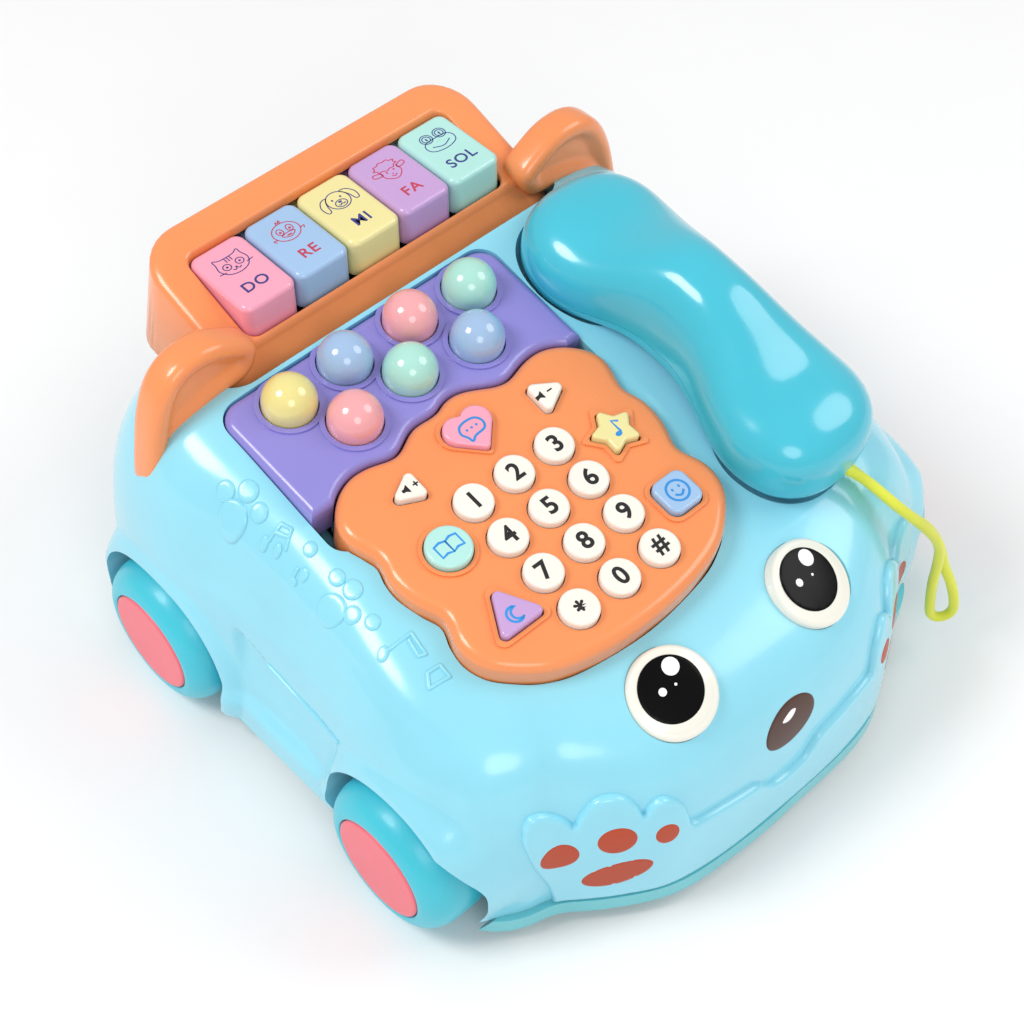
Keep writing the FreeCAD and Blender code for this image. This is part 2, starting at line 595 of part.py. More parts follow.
def dome(index):
    x, y = DOMES[index]
    ball = Part.makeSphere(DOME_RADIUS, V(x, y, DOME_CENTRE_H))
    ball = ball.common(box(x - 9, x + 9, y - 9, y + 9, DOME_CENTRE_H, DOME_CENTRE_H + 9))
    skirt = rod(DOME_RADIUS, V(x, y, FLANGE_LOW - 0.5), V(x, y, DOME_CENTRE_H))
    flange = rod(DOME_RADIUS + 1.0, V(x, y, FLANGE_LOW - 0.5), V(x, y, FLANGE_TOP - 0.5))
    inside = rod(DOME_RADIUS - 2, V(x, y, FLANGE_LOW - 1), V(x, y, DOME_CENTRE_H))
    within = dome_panel_block(-DOME_WALL - 0.4, FLANGE_LOW - 2, PLATE_LOW)
    foot = skirt.fuse(flange).common(within)
    neck = rod(DOME_RADIUS, V(x, y, PLATE_LOW), V(x, y, DOME_CENTRE_H))
    return largest(ball.fuse([neck, foot]).cut(inside).removeSplitter())


def dome_panel():
    block = dome_panel_block(0, SKIRT_LOW, DOME_PANEL_TOP)
    block = round_level(largest(block), DOME_PANEL_TOP, 2.5)
    block = block.cut(dome_panel_block(-WALL, SKIRT_LOW - 1, PLATE_LOW - 0.5))
    rings = [rod(DOME_RADIUS + 1.9, V(x, y, PLATE_LOW), V(x, y, DOME_PANEL_TOP + 0.6)) for x, y in DOMES]
    rings = [ring.common(dome_panel_block(0, SKIRT_LOW, 5)) for ring in rings]
    relief = [rod(DOME_RADIUS + 1.4, V(x, y, SKIRT_LOW - 1), V(x, y, PLATE_LOW)) for x, y in DOMES]
    relief = [hole.common(dome_panel_block(-DOME_WALL, SKIRT_LOW - 2, 5)) for hole in relief]
    posts = [rod(2.2, V(x, 70, BOARD_LOW + 1.6), V(x, 70, PLATE_LOW - 0.5)) for x in (-43.5, 43.5)]
    holes = [rod(DOME_RADIUS + BUTTON_GAP, V(x, y, PLATE_LOW - 2), V(x, y, 5)) for x, y in DOMES]
    return largest(block.fuse(rings + posts).cut(holes + relief))


def dome_board():
    board = plate(-44, 43.5, 56.5, 83.5, 6, BOARD_LOW, BOARD_LOW + 1.6)
    for x, y in DOMES:
        board = board.fuse(rod(2.5, V(x, y, BOARD_LOW + 1.6), V(x, y, BOARD_LOW + 3.4)))
    return largest(board)


# ---------------------------------------------------------------- piano
KEY_NAMES = ["do", "re", "mi", "fa", "sol"]


def key_x(index):
    return (index - 2) * KEY_PITCH - 0.25


def piano_housing():
    housing = housing_block(0, HOUSING_LOW)
    inner = housing_block(-WALL, HOUSING_LOW - 0.5)
    housing = housing.cut(inner).fuse([ear(0).cut(inner), mirrored_x(ear(0)).cut(inner)])
    window = plate(-48.6, 48.2, KEY_FRONT - 1.3, KEY_BACK + 0.7, 3.5, 97, 140)
    housing = housing.cut(window)
    low, high = KEY_HINGE_Z - 4, KEY_HINGE_Z + 5
    for x0, x1 in ((-55.5, -50.5), (50.0, 55.0)):
        block = box(x0, x1, KEY_HINGE_Y - 3, KEY_HINGE_Y + 10, low, high + 2)
        housing = housing.fuse(block.common(housing_block(0, HOUSING_LOW)))
    rod_hole = rod(KEY_ROD_RADIUS, V(-55.5, KEY_HINGE_Y, KEY_HINGE_Z), V(55, KEY_HINGE_Y, KEY_HINGE_Z))
    return largest(housing.cut(rod_hole))


def piano_key(index):
    x = key_x(index)
    half = KEY_WIDTH / 2
    cap = plate(x - half, x + half, KEY_FRONT, KEY_BACK, 3.2, KEY_LOW, KEY_TOP)
    cap = round_level(cap, KEY_TOP, 1.8)
    barrel_start = V(x - half + 2, KEY_HINGE_Y, KEY_HINGE_Z)
    barrel_end = V(x + half - 2, KEY_HINGE_Y, KEY_HINGE_Z)
    arm = box(x - half + 2, x + half - 2, KEY_BACK - 4, KEY_HINGE_Y, KEY_HINGE_Z - 2.6, KEY_HINGE_Z + 1.5)
    key = cap.fuse([arm, rod(2.8, barrel_start, barrel_end)])
    inside = plate(x - half + 2, x + half - 2, KEY_FRONT + 2, KEY_BACK - 4.5, 1.5, KEY_LOW - 1, KEY_TOP - 2)
    key = key.cut(inside)
    hole = rod(KEY_ROD_RADIUS + RUNNING, barrel_start - V(5, 0, 0), barrel_end + V(5, 0, 0))
    return largest(key.cut(hole).removeSplitter())


def key_hinge_rod():
    return rod(KEY_ROD_RADIUS, V(-55.5, KEY_HINGE_Y, KEY_HINGE_Z), V(55, KEY_HINGE_Y, KEY_HINGE_Z))


def piano_board():
    board = plate(-52, 52, 63.5, 91.5, 3, HOUSING_LOW + 2, HOUSING_LOW + 3.6)
    for index in range(5):
        x = key_x(index)
        board = board.fuse(rod(3, V(x, 69.5, HOUSING_LOW + 3.6), V(x, 69.5, HOUSING_LOW + 8.5)))
    return largest(board)


# ---------------------------------------------------------------- handset and strap
def seam_block(above):
    """Everything above, or below, the curved seam between the handset's two halves."""
    middle, reach = HANDSET_CENTRE.y, HANDSET_LENGTH / 2 + 5
    seam = [V(40, middle + reach * t, -6.5 + 10.0 * max(0, 1 - (t / 0.62) ** 2)) for t in
            (-1, -0.8, -0.62, -0.4, -0.2, 0, 0.2, 0.4, 0.62, 0.8, 1)]
    line = Part.makePolygon(seam)
    far = 60 if above else -60
    side = Part.makePolygon([seam[-1], V(40, seam[-1].y, far), V(40, seam[0].y, far), seam[0]])
    return Part.Face(Part.Wire(line.Edges + side.Edges)).extrude(V(70, 0, 0))


HANDSET_SCREWS = [(73, -16), (73, 65)]


def handset_half(above):
    outer = handset_solid(0)
    inner = handset_solid(-WALL)
    half = outer.cut(inner).common(seam_block(above))
    for x, y in HANDSET_SCREWS:
        if above:
            half = half.fuse(rod(3.2, V(x, y, -6), V(x, y, 6)).fuse(
                rod(3.2, V(x, y, 6), V(x, y, 40)).common(outer)))
            half = half.cut(rod(1.0, V(x, y, -7), V(x, y, 4)))
        else:
            half = half.fuse(rod(3.2, V(x, y, -40), V(x, y, -7)).common(outer))
            half = half.cut(rod(1.3, V(x, y, -40), V(x, y, 0))).cut(rod(2.4, V(x, y, -40), V(x, y, -13)))
    return on_deck(largest(half))


def handset_screws():
    made = []
    for x, y in HANDSET_SCREWS:
        made.append(rod(2.2, V(x, y, -14.2), V(x, y, -13)).fuse(rod(1.0, V(x, y, -13), V(x, y, 3))))
    return on_deck(Part.makeCompound(made))


def strap_path(points):
    """Straight runs joined by tangent arcs, each as large as its two runs allow."""
    edges = []
    start = points[0]
    for before, corner, after in zip(points, points[1:], points[2:]):
        back, on = before - corner, after - corner
        shorter = min(back.Length, on.Length)
        back.normalize()
        on.normalize()
        half_turn = (math.pi - back.getAngle(on)) / 2
        reach = 0.45 * shorter
        radius = reach / math.tan(half_turn)
        print("strap arc radius %.1f mm" % radius)
        enter, leave = corner + back * reach, corner + on * reach
        inward = (back + on).normalize()
        middle = corner + inward * (radius / math.cos(half_turn) - radius)
        edges.append(Part.LineSegment(start, enter).toShape())
        edges.append(Part.Arc(enter, middle, leave).toShape())
        start = leave
    edges.append(Part.LineSegment(start, points[-1]).toShape())
    return Part.Wire(edges)


def lanyard():
    path = strap_path(STRAP)
    along = (STRAP[1] - STRAP[0]).normalize()
    ring = Part.Wire([Part.Circle(STRAP[0], along, STRAP_RADIUS).toShape()])
    tube = path.makePipeShell([ring], True, False)
    expected = math.pi * STRAP_RADIUS ** 2 * path.Length
    print("strap length %.1f mm, volume %.0f of %.0f mm3" % (path.Length, tube.Volume, expected))
    return tube


# ---------------------------------------------------------------- wheels
def tread_shoulder(x_side, r_side, x_tread):
    """Arc in the profile plane that leaves the tread without a corner."""
    across, drop = x_side - x_tread, WHEEL_RADIUS - r_side
    radius = (across ** 2 + drop ** 2) / (2 * drop)
    half_turn = math.asin(abs(across) / radius) / 2
    way = math.copysign(1, across)
    middle = V(x_tread + way * radius * math.sin(half_turn), 0,
               WHEEL_RADIUS - radius + radius * math.cos(half_turn))
    return Part.Arc(V(x_side, 0, r_side), middle, V(x_tread, 0, WHEEL_RADIUS)).toShape()


def wheel_profile(side):
    """Domed tyre in one piece with its rim, turned about the axle."""
    face, inner = WHEEL_FACE, WHEEL_INNER
    rim, seat, rim_inner = HUB_CAP_RADIUS + 0.6, HUB_CAP_RADIUS + 0.1, WHEEL_RADIUS - 5
    tread_out, tread_in = face - 9, inner + 6
    corners = [V(inner, 0, rim_inner), V(inner, 0, AXLE_RADIUS), V(face - 6, 0, AXLE_RADIUS),
               V(face - 6, 0, seat), V(face - 0.4, 0, seat), V(face, 0, rim)]
    edges = [tread_shoulder(face, rim, tread_out),
             Part.LineSegment(V(tread_out, 0, WHEEL_RADIUS), V(tread_in, 0, WHEEL_RADIUS)).toShape(),
             tread_shoulder(inner, rim_inner, tread_in)]
    edges += [Part.LineSegment(p, q).toShape() for p, q in zip(corners, corners[1:])]
    outline = Part.Wire(Part.__sortEdges__(edges))
    turned = Part.Face(outline).revolve(V(0, 0, 0), V(1, 0, 0), 360)
    return turned if side > 0 else mirrored_x(turned)


def wheel(end, side):
    solid = wheel_profile(side)
    solid.translate(V(0, AXLE_Y[end], WHEEL_RADIUS))
    return solid


def hub_caps(end):
    made = []
    for side in (-1, 1):
        start = V(side * (WHEEL_FACE - 6), AXLE_Y[end], WHEEL_RADIUS)
        cap = rod(HUB_CAP_RADIUS, start, start + V(side * 6.3, 0, 0))
        circles = [e for e in cap.Edges if e.Curve.TypeId == "Part::GeomCircle"]
        outer = max(circles, key=lambda e: side * e.CenterOfMass.x)
        made.append(cap.makeFillet(1.0, [outer]))
    return Part.makeCompound(made)


def axle(end):
    y = AXLE_Y[end]
    reach = WHEEL_FACE - 6
    return rod(AXLE_RADIUS, V(-reach, y, WHEEL_RADIUS), V(reach, y, WHEEL_RADIUS))


# ---------------------------------------------------------------- export
def main():
    os.makedirs("parts", exist_ok=True)
    outer = body_outer()
    save("upper_shell", upper_shell(outer))
    save("base_shell", base_shell())
    save("battery_door", battery_door())
    save("case_screws", screws_from_below(POSTS, BODY_LOW, 17))
    save("batteries", batteries())
    save("battery_contacts", battery_contacts())
    save("speaker", speaker())
    save("power_switch", power_switch())
    save("eyes", Part.makeCompound([eye(-1), eye(1)]))
    save("keypad_panel", on_deck(keypad_panel()))
    save("keypad_mat", on_deck(keypad_mat()))
    save("circuit_board", on_deck(circuit_board()))
    save("dome_panel", on_deck(dome_panel()))
    save("dome_board", on_deck(dome_board()))
    for kind in ALL_BUTTONS:
        save(kind, on_deck(button(kind)))
    for index in range(len(DOMES)):
        save("dome_%d" % (index + 1), on_deck(dome(index)))
    save("piano_housing", piano_housing())
    save("piano_board", piano_board())
    save("key_hinge_rod", key_hinge_rod())
    for index, name in enumerate(KEY_NAMES):
        save("piano_key_" + name, piano_key(index))
    save("handset_upper", handset_half(True))
    save("handset_lower", handset_half(False))
    save("handset_screws", handset_screws())
    save("lanyard", lanyard())
    for end in AXLE_Y:
        save(end + "_axle", axle(end))
        save("hub_caps_" + end, hub_caps(end))
        for word, side in (("left", -1), ("right", 1)):
            save("wheel_%s_%s" % (end, word), wheel(end, side))


main()
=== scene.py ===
import math

import bmesh
import bpy
import numpy as np
from mathutils import Matrix, Vector
from mathutils.geometry import delaunay_2d_cdt


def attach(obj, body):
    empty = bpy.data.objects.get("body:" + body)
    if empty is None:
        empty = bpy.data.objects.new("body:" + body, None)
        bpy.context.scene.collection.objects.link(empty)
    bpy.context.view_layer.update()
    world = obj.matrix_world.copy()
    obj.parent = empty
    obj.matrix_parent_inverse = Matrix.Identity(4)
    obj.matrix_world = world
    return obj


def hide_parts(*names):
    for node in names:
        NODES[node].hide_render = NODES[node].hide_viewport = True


# Looks of the toy telephone car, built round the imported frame.  Lengths below are in
# millimetres unless they are handed straight to Blender, which works in metres.
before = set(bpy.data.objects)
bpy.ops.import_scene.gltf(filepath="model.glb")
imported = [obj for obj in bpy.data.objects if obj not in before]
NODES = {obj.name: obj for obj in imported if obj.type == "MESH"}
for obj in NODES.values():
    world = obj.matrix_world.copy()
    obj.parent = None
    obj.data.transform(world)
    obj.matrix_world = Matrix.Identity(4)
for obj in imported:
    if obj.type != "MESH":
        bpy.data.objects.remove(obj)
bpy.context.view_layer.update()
MM = 0.001

# ---------------------------------------------------------------- camera
CAMERA_AT = Vector((-0.2698, -0.2857, 0.5277))
CAMERA_TO = Vector((-0.00852, 0.0, 0.05655))


def make_camera():
    data = bpy.data.cameras.new("camera")
    data.lens = 73.33
    data.sensor_width = 36.0
    data.clip_start = 0.01
    camera = bpy.data.objects.new("camera", data)
    turn = (CAMERA_TO - CAMERA_AT).to_track_quat("-Z", "Y").to_matrix().to_4x4()
    roll = Matrix.Rotation(math.radians(-0.29), 4, "Z")
    camera.matrix_world = Matrix.Translation(CAMERA_AT) @ turn @ roll
    bpy.context.scene.collection.objects.link(camera)
    bpy.context.scene.camera = camera


make_camera()


# ---------------------------------------------------------------- mesh helpers
def add_mesh(name, points, faces, material, body, sharp=35, replaces=()):
    """A piece from points in millimetres, riding on a CAD body."""
    mesh = bpy.data.meshes.new(name)
    mesh.from_pydata([tuple(float(c) * MM for c in p) for p in points], [], faces)
    mesh.validate()
    piece = bpy.data.objects.new(name, mesh)
    bpy.context.scene.collection.objects.link(piece)
    return finish_piece(piece, material, body, sharp, replaces)


def finish_piece(piece, material, body, sharp=35, replaces=()):
    mesh = piece.data
    mesh.shade_smooth()
    if sharp:
        mesh.set_sharp_from_angle(angle=math.radians(sharp))
    mesh.materials.clear()
    mesh.materials.append(material)
    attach(piece, body)
    if replaces:
        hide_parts(*replaces)
    return piece


def loft(rings, closed_ring=True, cap_start=False, cap_end=False):
    """Points and faces of a surface through rings that all have the same count."""
    rings = [np.asarray(ring, float) for ring in rings]
    count = len(rings[0])
    points = np.concatenate(rings)
    faces = []
    last = count if closed_ring else count - 1
    for row in range(len(rings) - 1):
        for i in range(last):
            j = (i + 1) % count
            a, b = row * count + i, row * count + j
            faces.append((a, b, b + count, a + count))
    if cap_start:
        faces.append(tuple(range(count - 1, -1, -1)))
    if cap_end:
        faces.append(tuple(range((len(rings) - 1) * count, len(rings) * count)))
    return points, faces


def merged(parts):
    """Several (points, faces) pairs as one."""
    points, faces, base = [], [], 0
    for some_points, some_faces in parts:
        points.append(np.asarray(some_points, float))
        faces += [tuple(i + base for i in face) for face in some_faces]
        base += len(some_points)
    return np.concatenate(points), faces


def smooth_step(low, high, x):
    t = np.clip((x - low) / (high - low), 0, 1)
    return t * t * (3 - 2 * t)


def smooth_max(a, b, width):
    h = np.clip(0.5 + 0.5 * (a - b) / width, 0, 1)
    return b + (a - b) * h + width * h * (1 - h)


def smooth_closed(points, per_span=16):
    """Closed curve through points."""
    points = np.array(points, float)
    t = np.linspace(0, 1, per_span, endpoint=False)[:, None]
    spans = []
    for i in range(len(points)):
        a, b = points[i - 1], points[i]
        c, d = points[(i + 1) % len(points)], points[(i + 2) % len(points)]
        spans.append(b + 0.5 * t * (c - a + t * (2 * a - 5 * b + 4 * c - d + t * (3 * b - a - 3 * c + d))))
    return np.concatenate(spans)


def smooth_open(points, per_span=12):
    """Open curve through points."""
    points = np.array(points, float)
    ends = np.concatenate([[2 * points[0] - points[1]], points, [2 * points[-1] - points[-2]]])
    t = np.linspace(0, 1, per_span, endpoint=False)[:, None]
    spans = []
    for a, b, c, d in zip(ends, ends[1:], ends[2:], ends[3:]):
        spans.append(b + 0.5 * t * (c - a + t * (2 * a - 5 * b + 4 * c - d + t * (3 * b - a - 3 * c + d))))
    return np.concatenate(spans + [points[-1:]])


# ---------------------------------------------------------------- materials
def linear(hex_colour):
    """Scene-linear colour of a #RRGGBB swatch."""
    parts = [int(hex_colour[i:i + 2], 16) / 255 for i in (1, 3, 5)]
    return tuple(c / 12.92 if c <= 0.04045 else ((c + 0.055) / 1.055) ** 2.4 for c in parts) + (1.0,)


def shaded(colour, factor):
    return tuple(min(c * factor, 1.0) for c in colour[:3]) + (1.0,)


def plastic(name, swatch, rough=0.24, coat=0.3, cloud=0.035, grain=0.05, grain_size=1500,
            specular=0.5):
    """Moulded plastic: faint colour clouds, uneven gloss and a fine moulded grain."""
    colour = linear(swatch)
    material = bpy.data.materials.new(name)
    material.use_nodes = True
    nodes, links = material.node_tree.nodes, material.node_tree.links
    shader = nodes["Principled BSDF"]
    place = nodes.new("ShaderNodeTexCoord").outputs["Object"]
    clouds = nodes.new("ShaderNodeTexNoise")
    clouds.inputs["Scale"].default_value = 28
    clouds.inputs["Detail"].default_value = 4
    links.new(place, clouds.inputs["Vector"])
    ramp = nodes.new("ShaderNodeValToRGB")
    ramp.color_ramp.elements[0].position = 0.3
    ramp.color_ramp.elements[0].color = shaded(colour, 1 - cloud)
    ramp.color_ramp.elements[1].position = 0.7
    ramp.color_ramp.elements[1].color = shaded(colour, 1 + cloud)
    links.new(clouds.outputs["Fac"], ramp.inputs["Fac"])
    links.new(ramp.outputs["Color"], shader.inputs["Base Color"])
    wear = nodes.new("ShaderNodeTexNoise")
    wear.inputs["Scale"].default_value = 140
    wear.inputs["Detail"].default_value = 6
    links.new(place, wear.inputs["Vector"])
    gloss = nodes.new("ShaderNodeMapRange")
    gloss.inputs["To Min"].default_value = rough - 0.05
    gloss.inputs["To Max"].default_value = rough + 0.08
    links.new(wear.outputs["Fac"], gloss.inputs["Value"])
    links.new(gloss.outputs["Result"], shader.inputs["Roughness"])
    fine = nodes.new("ShaderNodeTexNoise")
    fine.inputs["Scale"].default_value = grain_size
    links.new(place, fine.inputs["Vector"])
    bump = nodes.new("ShaderNodeBump")
    bump.inputs["Strength"].default_value = grain
    bump.inputs["Distance"].default_value = 0.0002
    links.new(fine.outputs["Fac"], bump.inputs["Height"])
    links.new(bump.outputs["Normal"], shader.inputs["Normal"])
    shader.inputs["Coat Weight"].default_value = coat
    shader.inputs["Coat Roughness"].default_value = 0.08
    shader.inputs["Specular IOR Level"].default_value = specular
    return material


def metal(name, swatch, rough):
    material = plastic(name, swatch, rough, coat=0.0, cloud=0.06, grain=0.12, grain_size=2600)
    material.node_tree.nodes["Principled BSDF"].inputs["Metallic"].default_value = 1.0
    return material


def woven(name, swatch):
    """Braided polyester cord: coloured yarns with darker gaps and a soft sheen."""
    material = plastic(name, swatch, 0.55, coat=0.0, cloud=0.12, grain=0.5, grain_size=2400)
    material.node_tree.nodes["Principled BSDF"].inputs["Sheen Weight"].default_value = 0.35
    return material


SHELL = plastic("shell_blue", "#8FD9EC", rough=0.2, coat=0.35)
BASE = plastic("base_teal", "#6CC6CF", rough=0.3)
TEAL = plastic("handset_teal", "#3EBDD3", rough=0.18, coat=0.5)
TYRE = plastic("tyre_teal", "#3FC3D6", rough=0.34, coat=0.1, grain=0.12)
ORANGE = plastic("panel_orange", "#F39257", rough=0.24)
PURPLE = plastic("panel_purple", "#8D86D2", rough=0.24)
CREAM = plastic("button_cream", "#F2EDE2", rough=0.26)
CORAL = plastic("hub_coral", "#F26D7A", rough=0.38, coat=0.05, grain=0.15)
WHITE = plastic("eye_white", "#F1EEE2", rough=0.22, coat=0.4)
BLACK = plastic("eye_black", "#060607", rough=0.22, coat=0.0, cloud=0.2, specular=0.12)
GLINT = plastic("eye_glint", "#FFFFFF", rough=0.2)
BROWN = plastic("nose_brown", "#50332A", rough=0.3, coat=0.1, cloud=0.1, specular=0.3)
RUST = plastic("paw_rust", "#B8431F", rough=0.35, coat=0.0, cloud=0.05, specular=0.3)
INK = plastic("print_black", "#1B1A1C", rough=0.4, coat=0.0, cloud=0.2)
NAVY = plastic("print_navy", "#3A3C86", rough=0.4, coat=0.0, cloud=0.15)
RED_INK = plastic("print_red", "#C23A55", rough=0.4, coat=0.0, cloud=0.1)
AZURE = plastic("print_azure", "#2F8FD8", rough=0.4, coat=0.0, cloud=0.1)
PINK = plastic("key_pink", "#F5A3BA", rough=0.22)
SKY = plastic("key_sky", "#9FC0E4", rough=0.22)
LEMON = plastic("key_lemon", "#EBDF9C", rough=0.22)
LILAC = plastic("key_lilac", "#C49ED2", rough=0.22)
MINT = plastic("key_mint", "#B0E2DA", rough=0.22)
DOME_PINK = plastic("dome_pink", "#F0A5A8", rough=0.14, coat=0.7)
DOME_SKY = plastic("dome_sky", "#9DBBDE", rough=0.14, coat=0.7)
DOME_LEMON = plastic("dome_lemon", "#E6D98B", rough=0.14, coat=0.7)
DOME_MINT = plastic("dome_mint", "#A9DECF", rough=0.14, coat=0.7)
LIME = woven("strap_lime", "#DDE23A")
STEEL = metal("steel", "#C2C4C6", 0.3)
BOARD = plastic("board_green", "#1E5C38", rough=0.4, cloud=0.15)
RUBBER = plastic("mat_rubber", "#C3C5C3", rough=0.7, coat=0.0, grain=0.3)
DARK = plastic("dark_parts", "#18191C", rough=0.5, cloud=0.2)
WRAP = plastic("cell_wrap", "#2B3440", rough=0.3, cloud=0.15)

PAINTED = [
    (BASE, "base_shell battery_door"), (WRAP, "batteries"), (RUBBER, "keypad_mat"), (WHITE, "eyes"),
    (STEEL, "case_screws battery_contacts key_hinge_rod handset_screws front_axle rear_axle"),
    (DARK, "speaker power_switch"), (BOARD, "circuit_board dome_board piano_board"),
    (ORANGE, "keypad_panel piano_housing"), (PURPLE, "dome_panel"), (SHELL, "upper_shell"),
    (TEAL, "handset_upper handset_lower"), (LIME, "lanyard"), (CORAL, "hub_caps_front hub_caps_rear"),
    (CREAM, "volume_up_button volume_down_button"), (PINK, "heart_button piano_key_do"),
    (LEMON, "star_button piano_key_mi"), (MINT, "round_button piano_key_sol"),
    (LILAC, "triangle_button piano_key_fa"), (SKY, "square_button piano_key_re"),
    (DOME_LEMON, "dome_1"), (DOME_SKY, "dome_2 dome_7"), (DOME_PINK, "dome_3 dome_5"),
    (DOME_MINT, "dome_4 dome_6"),
]
NODE_MATERIALS = {name: paint for paint, names in PAINTED for name in names.split()}


def paint_nodes():
    for name, node in NODES.items():
        material = NODE_MATERIALS.get(name, CREAM if name.startswith("button_") else TYRE)
        for slot in node.material_slots:
            slot.material = material


paint_nodes()

# ---------------------------------------------------------------- strap
STRAP = [(56.8, -67.5, 82.0), (59.4, -71.2, 79.9), (61.0, -75.8, 77.6), (62.8, -81.0, 74.4),
         (66.2, -85.6, 69.4), (71.8, -88.4, 61.6), (77.6, -90.8, 51.8), (78.8, -90.9, 41.6),
         (79.2, -90.4, 31.0), (79.8, -90.8, 21.5), (80.5, -91.5, 14.9), (83.7, -93.9, 13.3),
         (86.4, -95.7, 15.9), (85.9, -95.1, 22.5), (84.6, -93.3, 30.0), (82.4, -90.9, 37.6),
         (80.4, -89.3, 47.2), (74.8, -87.6, 58.8), (68.2, -84.4, 66.6), (64.8, -79.7, 71.4),
         (63.2, -74.4, 74.4), (61.6, -68.6, 76.9), (59.4, -64.4, 80.0)]
STRAP_RADIUS = 1.6


def strap_curve():
    data = bpy.data.curves.new("strap", "CURVE")
    data.dimensions = "3D"
    spline = data.splines.new("NURBS")
    spline.points.add(len(STRAP) - 1)
    for point, (x, y, z) in zip(spline.points, STRAP):
        point.co = (x * MM, y * MM, z * MM, 1.0)
    spline.order_u = 3
    spline.use_endpoint_u = True
    spline.resolution_u = 16
    curve = bpy.data.objects.new("strap", data)
    bpy.context.scene.collection.objects.link(curve)
    return curve


def centre_line(curve):
    """Evenly spaced points along the curve, in millimetres, read before it has thickness."""
    bpy.context.view_layer.update()
    mesh = bpy.data.meshes.new_from_object(curve)
    points = np.array([v.co for v in mesh.vertices]) / MM
    bpy.data.meshes.remove(mesh)
    along = np.concatenate([[0], np.cumsum(np.linalg.norm(np.diff(points, axis=0), axis=1))])
    even = np.arange(0, along[-1], 0.5)
    return np.stack([np.interp(even, along, points[:, i]) for i in range(3)], -1), even


def frames_along(points):
    """Two directions square to the line at each point, carried along without twist."""
    tangents = np.gradient(points, axis=0)
    tangents /= np.linalg.norm(tangents, axis=1)[:, None]
    side = np.cross(tangents[0], (0, 0, 1))
    sides = []
    for tangent in tangents:
        side = side - tangent * (side @ tangent)
        side = side / np.linalg.norm(side)
        sides.append(side)
    sides = np.array(sides)
    return sides, np.cross(tangents, sides)


def tube(points, radius, sides=6):
    first, second = frames_along(points)
    angles = np.linspace(0, 2 * math.pi, sides, endpoint=False)
    rings = [p + radius * (np.cos(angles)[:, None] * a + np.sin(angles)[:, None] * b)
             for p, a, b in zip(points, first, second)]
    return loft(rings, cap_start=True, cap_end=True)


def braid(points, along):
    """Eight yarns wound both ways round the cord, each passing over and under the others."""
    first, second = frames_along(points)
    parts = []
    for yarn in range(8):
        way = 1 if yarn % 2 else -1
        angle = way * along * (2 * math.pi / 7.5) + yarn // 2 * math.pi / 2
        lift = STRAP_RADIUS - 0.52 + 0.16 * np.sin(4 * angle + (0 if way > 0 else math.pi))
        wound = points + lift[:, None] * (np.cos(angle)[:, None] * first + np.sin(angle)[:, None] * second)
        parts.append(tube(wound, 0.42, 5))
    return merged(parts)


def make_strap():
    curve = strap_curve()
    points, along = centre_line(curve)
    yarns = add_mesh("strap_braid", *braid(points, along), LIME, "handset", sharp=0)
    curve.data.bevel_depth = STRAP_RADIUS * MM
    curve.data.bevel_resolution = 3
    curve.data.use_fill_caps = True
    curve.data.materials.append(LIME)
    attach(curve, "handset")
    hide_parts("lanyard")


make_strap()


# ---------------------------------------------------------------- body surface
# Half of the body's plan outline, from the nose to the tail, as the CAD body has it.
PLAN = [(0, -106), (24, -105.3), (42, -102.2), (54, -96), (63, -89.8), (68.5, -85.6), (72, -83.9),
        (77, -82.5), (83, -79.6), (88.5, -74.5), (93, -66), (97, -56), (98, -46), (96.5, -28),
        (93.6, -8), (93.4, 16), (96.5, 38), (98.5, 56), (96, 74), (89.5, 89), (77, 99.5),
        (56, 105), (0, 106)]
AXLE_Y = {"front": -48.4, "rear": 56.0}
WHEEL_Z, ARCH_RADIUS, WELL_INNER = 24.0, 28.6, 76.0
SILL = 11.5
WALL = 2.5
BUMPER_STEP = 2.0

OUTLINE = smooth_closed(PLAN + [(-x, y) for x, y in PLAN[-2:0:-1]], 48)
ANGLES = np.arctan2(OUTLINE[:, 1], OUTLINE[:, 0])
ORDER = np.argsort(ANGLES)
REACH_ANGLES, REACHES = ANGLES[ORDER], np.hypot(OUTLINE[ORDER, 0], OUTLINE[ORDER, 1])
RIGHT_SIDE = OUTLINE[OUTLINE[:, 0] >= 0]
RIGHT_SIDE = RIGHT_SIDE[np.argsort(RIGHT_SIDE[:, 1])]


def reach(theta):
    """Distance from the middle to the body's outline."""
    wrapped = np.mod(theta + np.pi, 2 * np.pi) - np.pi
    return np.interp(wrapped, REACH_ANGLES, REACHES, period=2 * np.pi)


def deck(y):
    """Height of the middle of the deck, which falls to the face and again at the tail."""
    return 91.4 + 0.2364 * np.minimum(y, 54.5) - 0.0046 * np.maximum(0, y - 57.5) ** 2


def fender_swell(x, y, z):
    """The half-width at a point, swollen over the wheels."""
    side = np.abs(x)
    for end, axle in AXLE_Y.items():
        away = np.hypot(y - axle, z - WHEEL_Z)
        full = np.minimum(98.0, np.interp(y, RIGHT_SIDE[:, 1], RIGHT_SIDE[:, 0]) + 5.5)
        if end == "front":
            full = full - 4.5 * smooth_step(24, 8, z)
        fall = np.clip((away - ARCH_RADIUS) / 14.5, 0, 1)
        side = smooth_max(side, full * np.sqrt(1 - fall * fall), 4.0 * (fall < 1) + 0.01)
    return np.where(x < 0, -side, side)


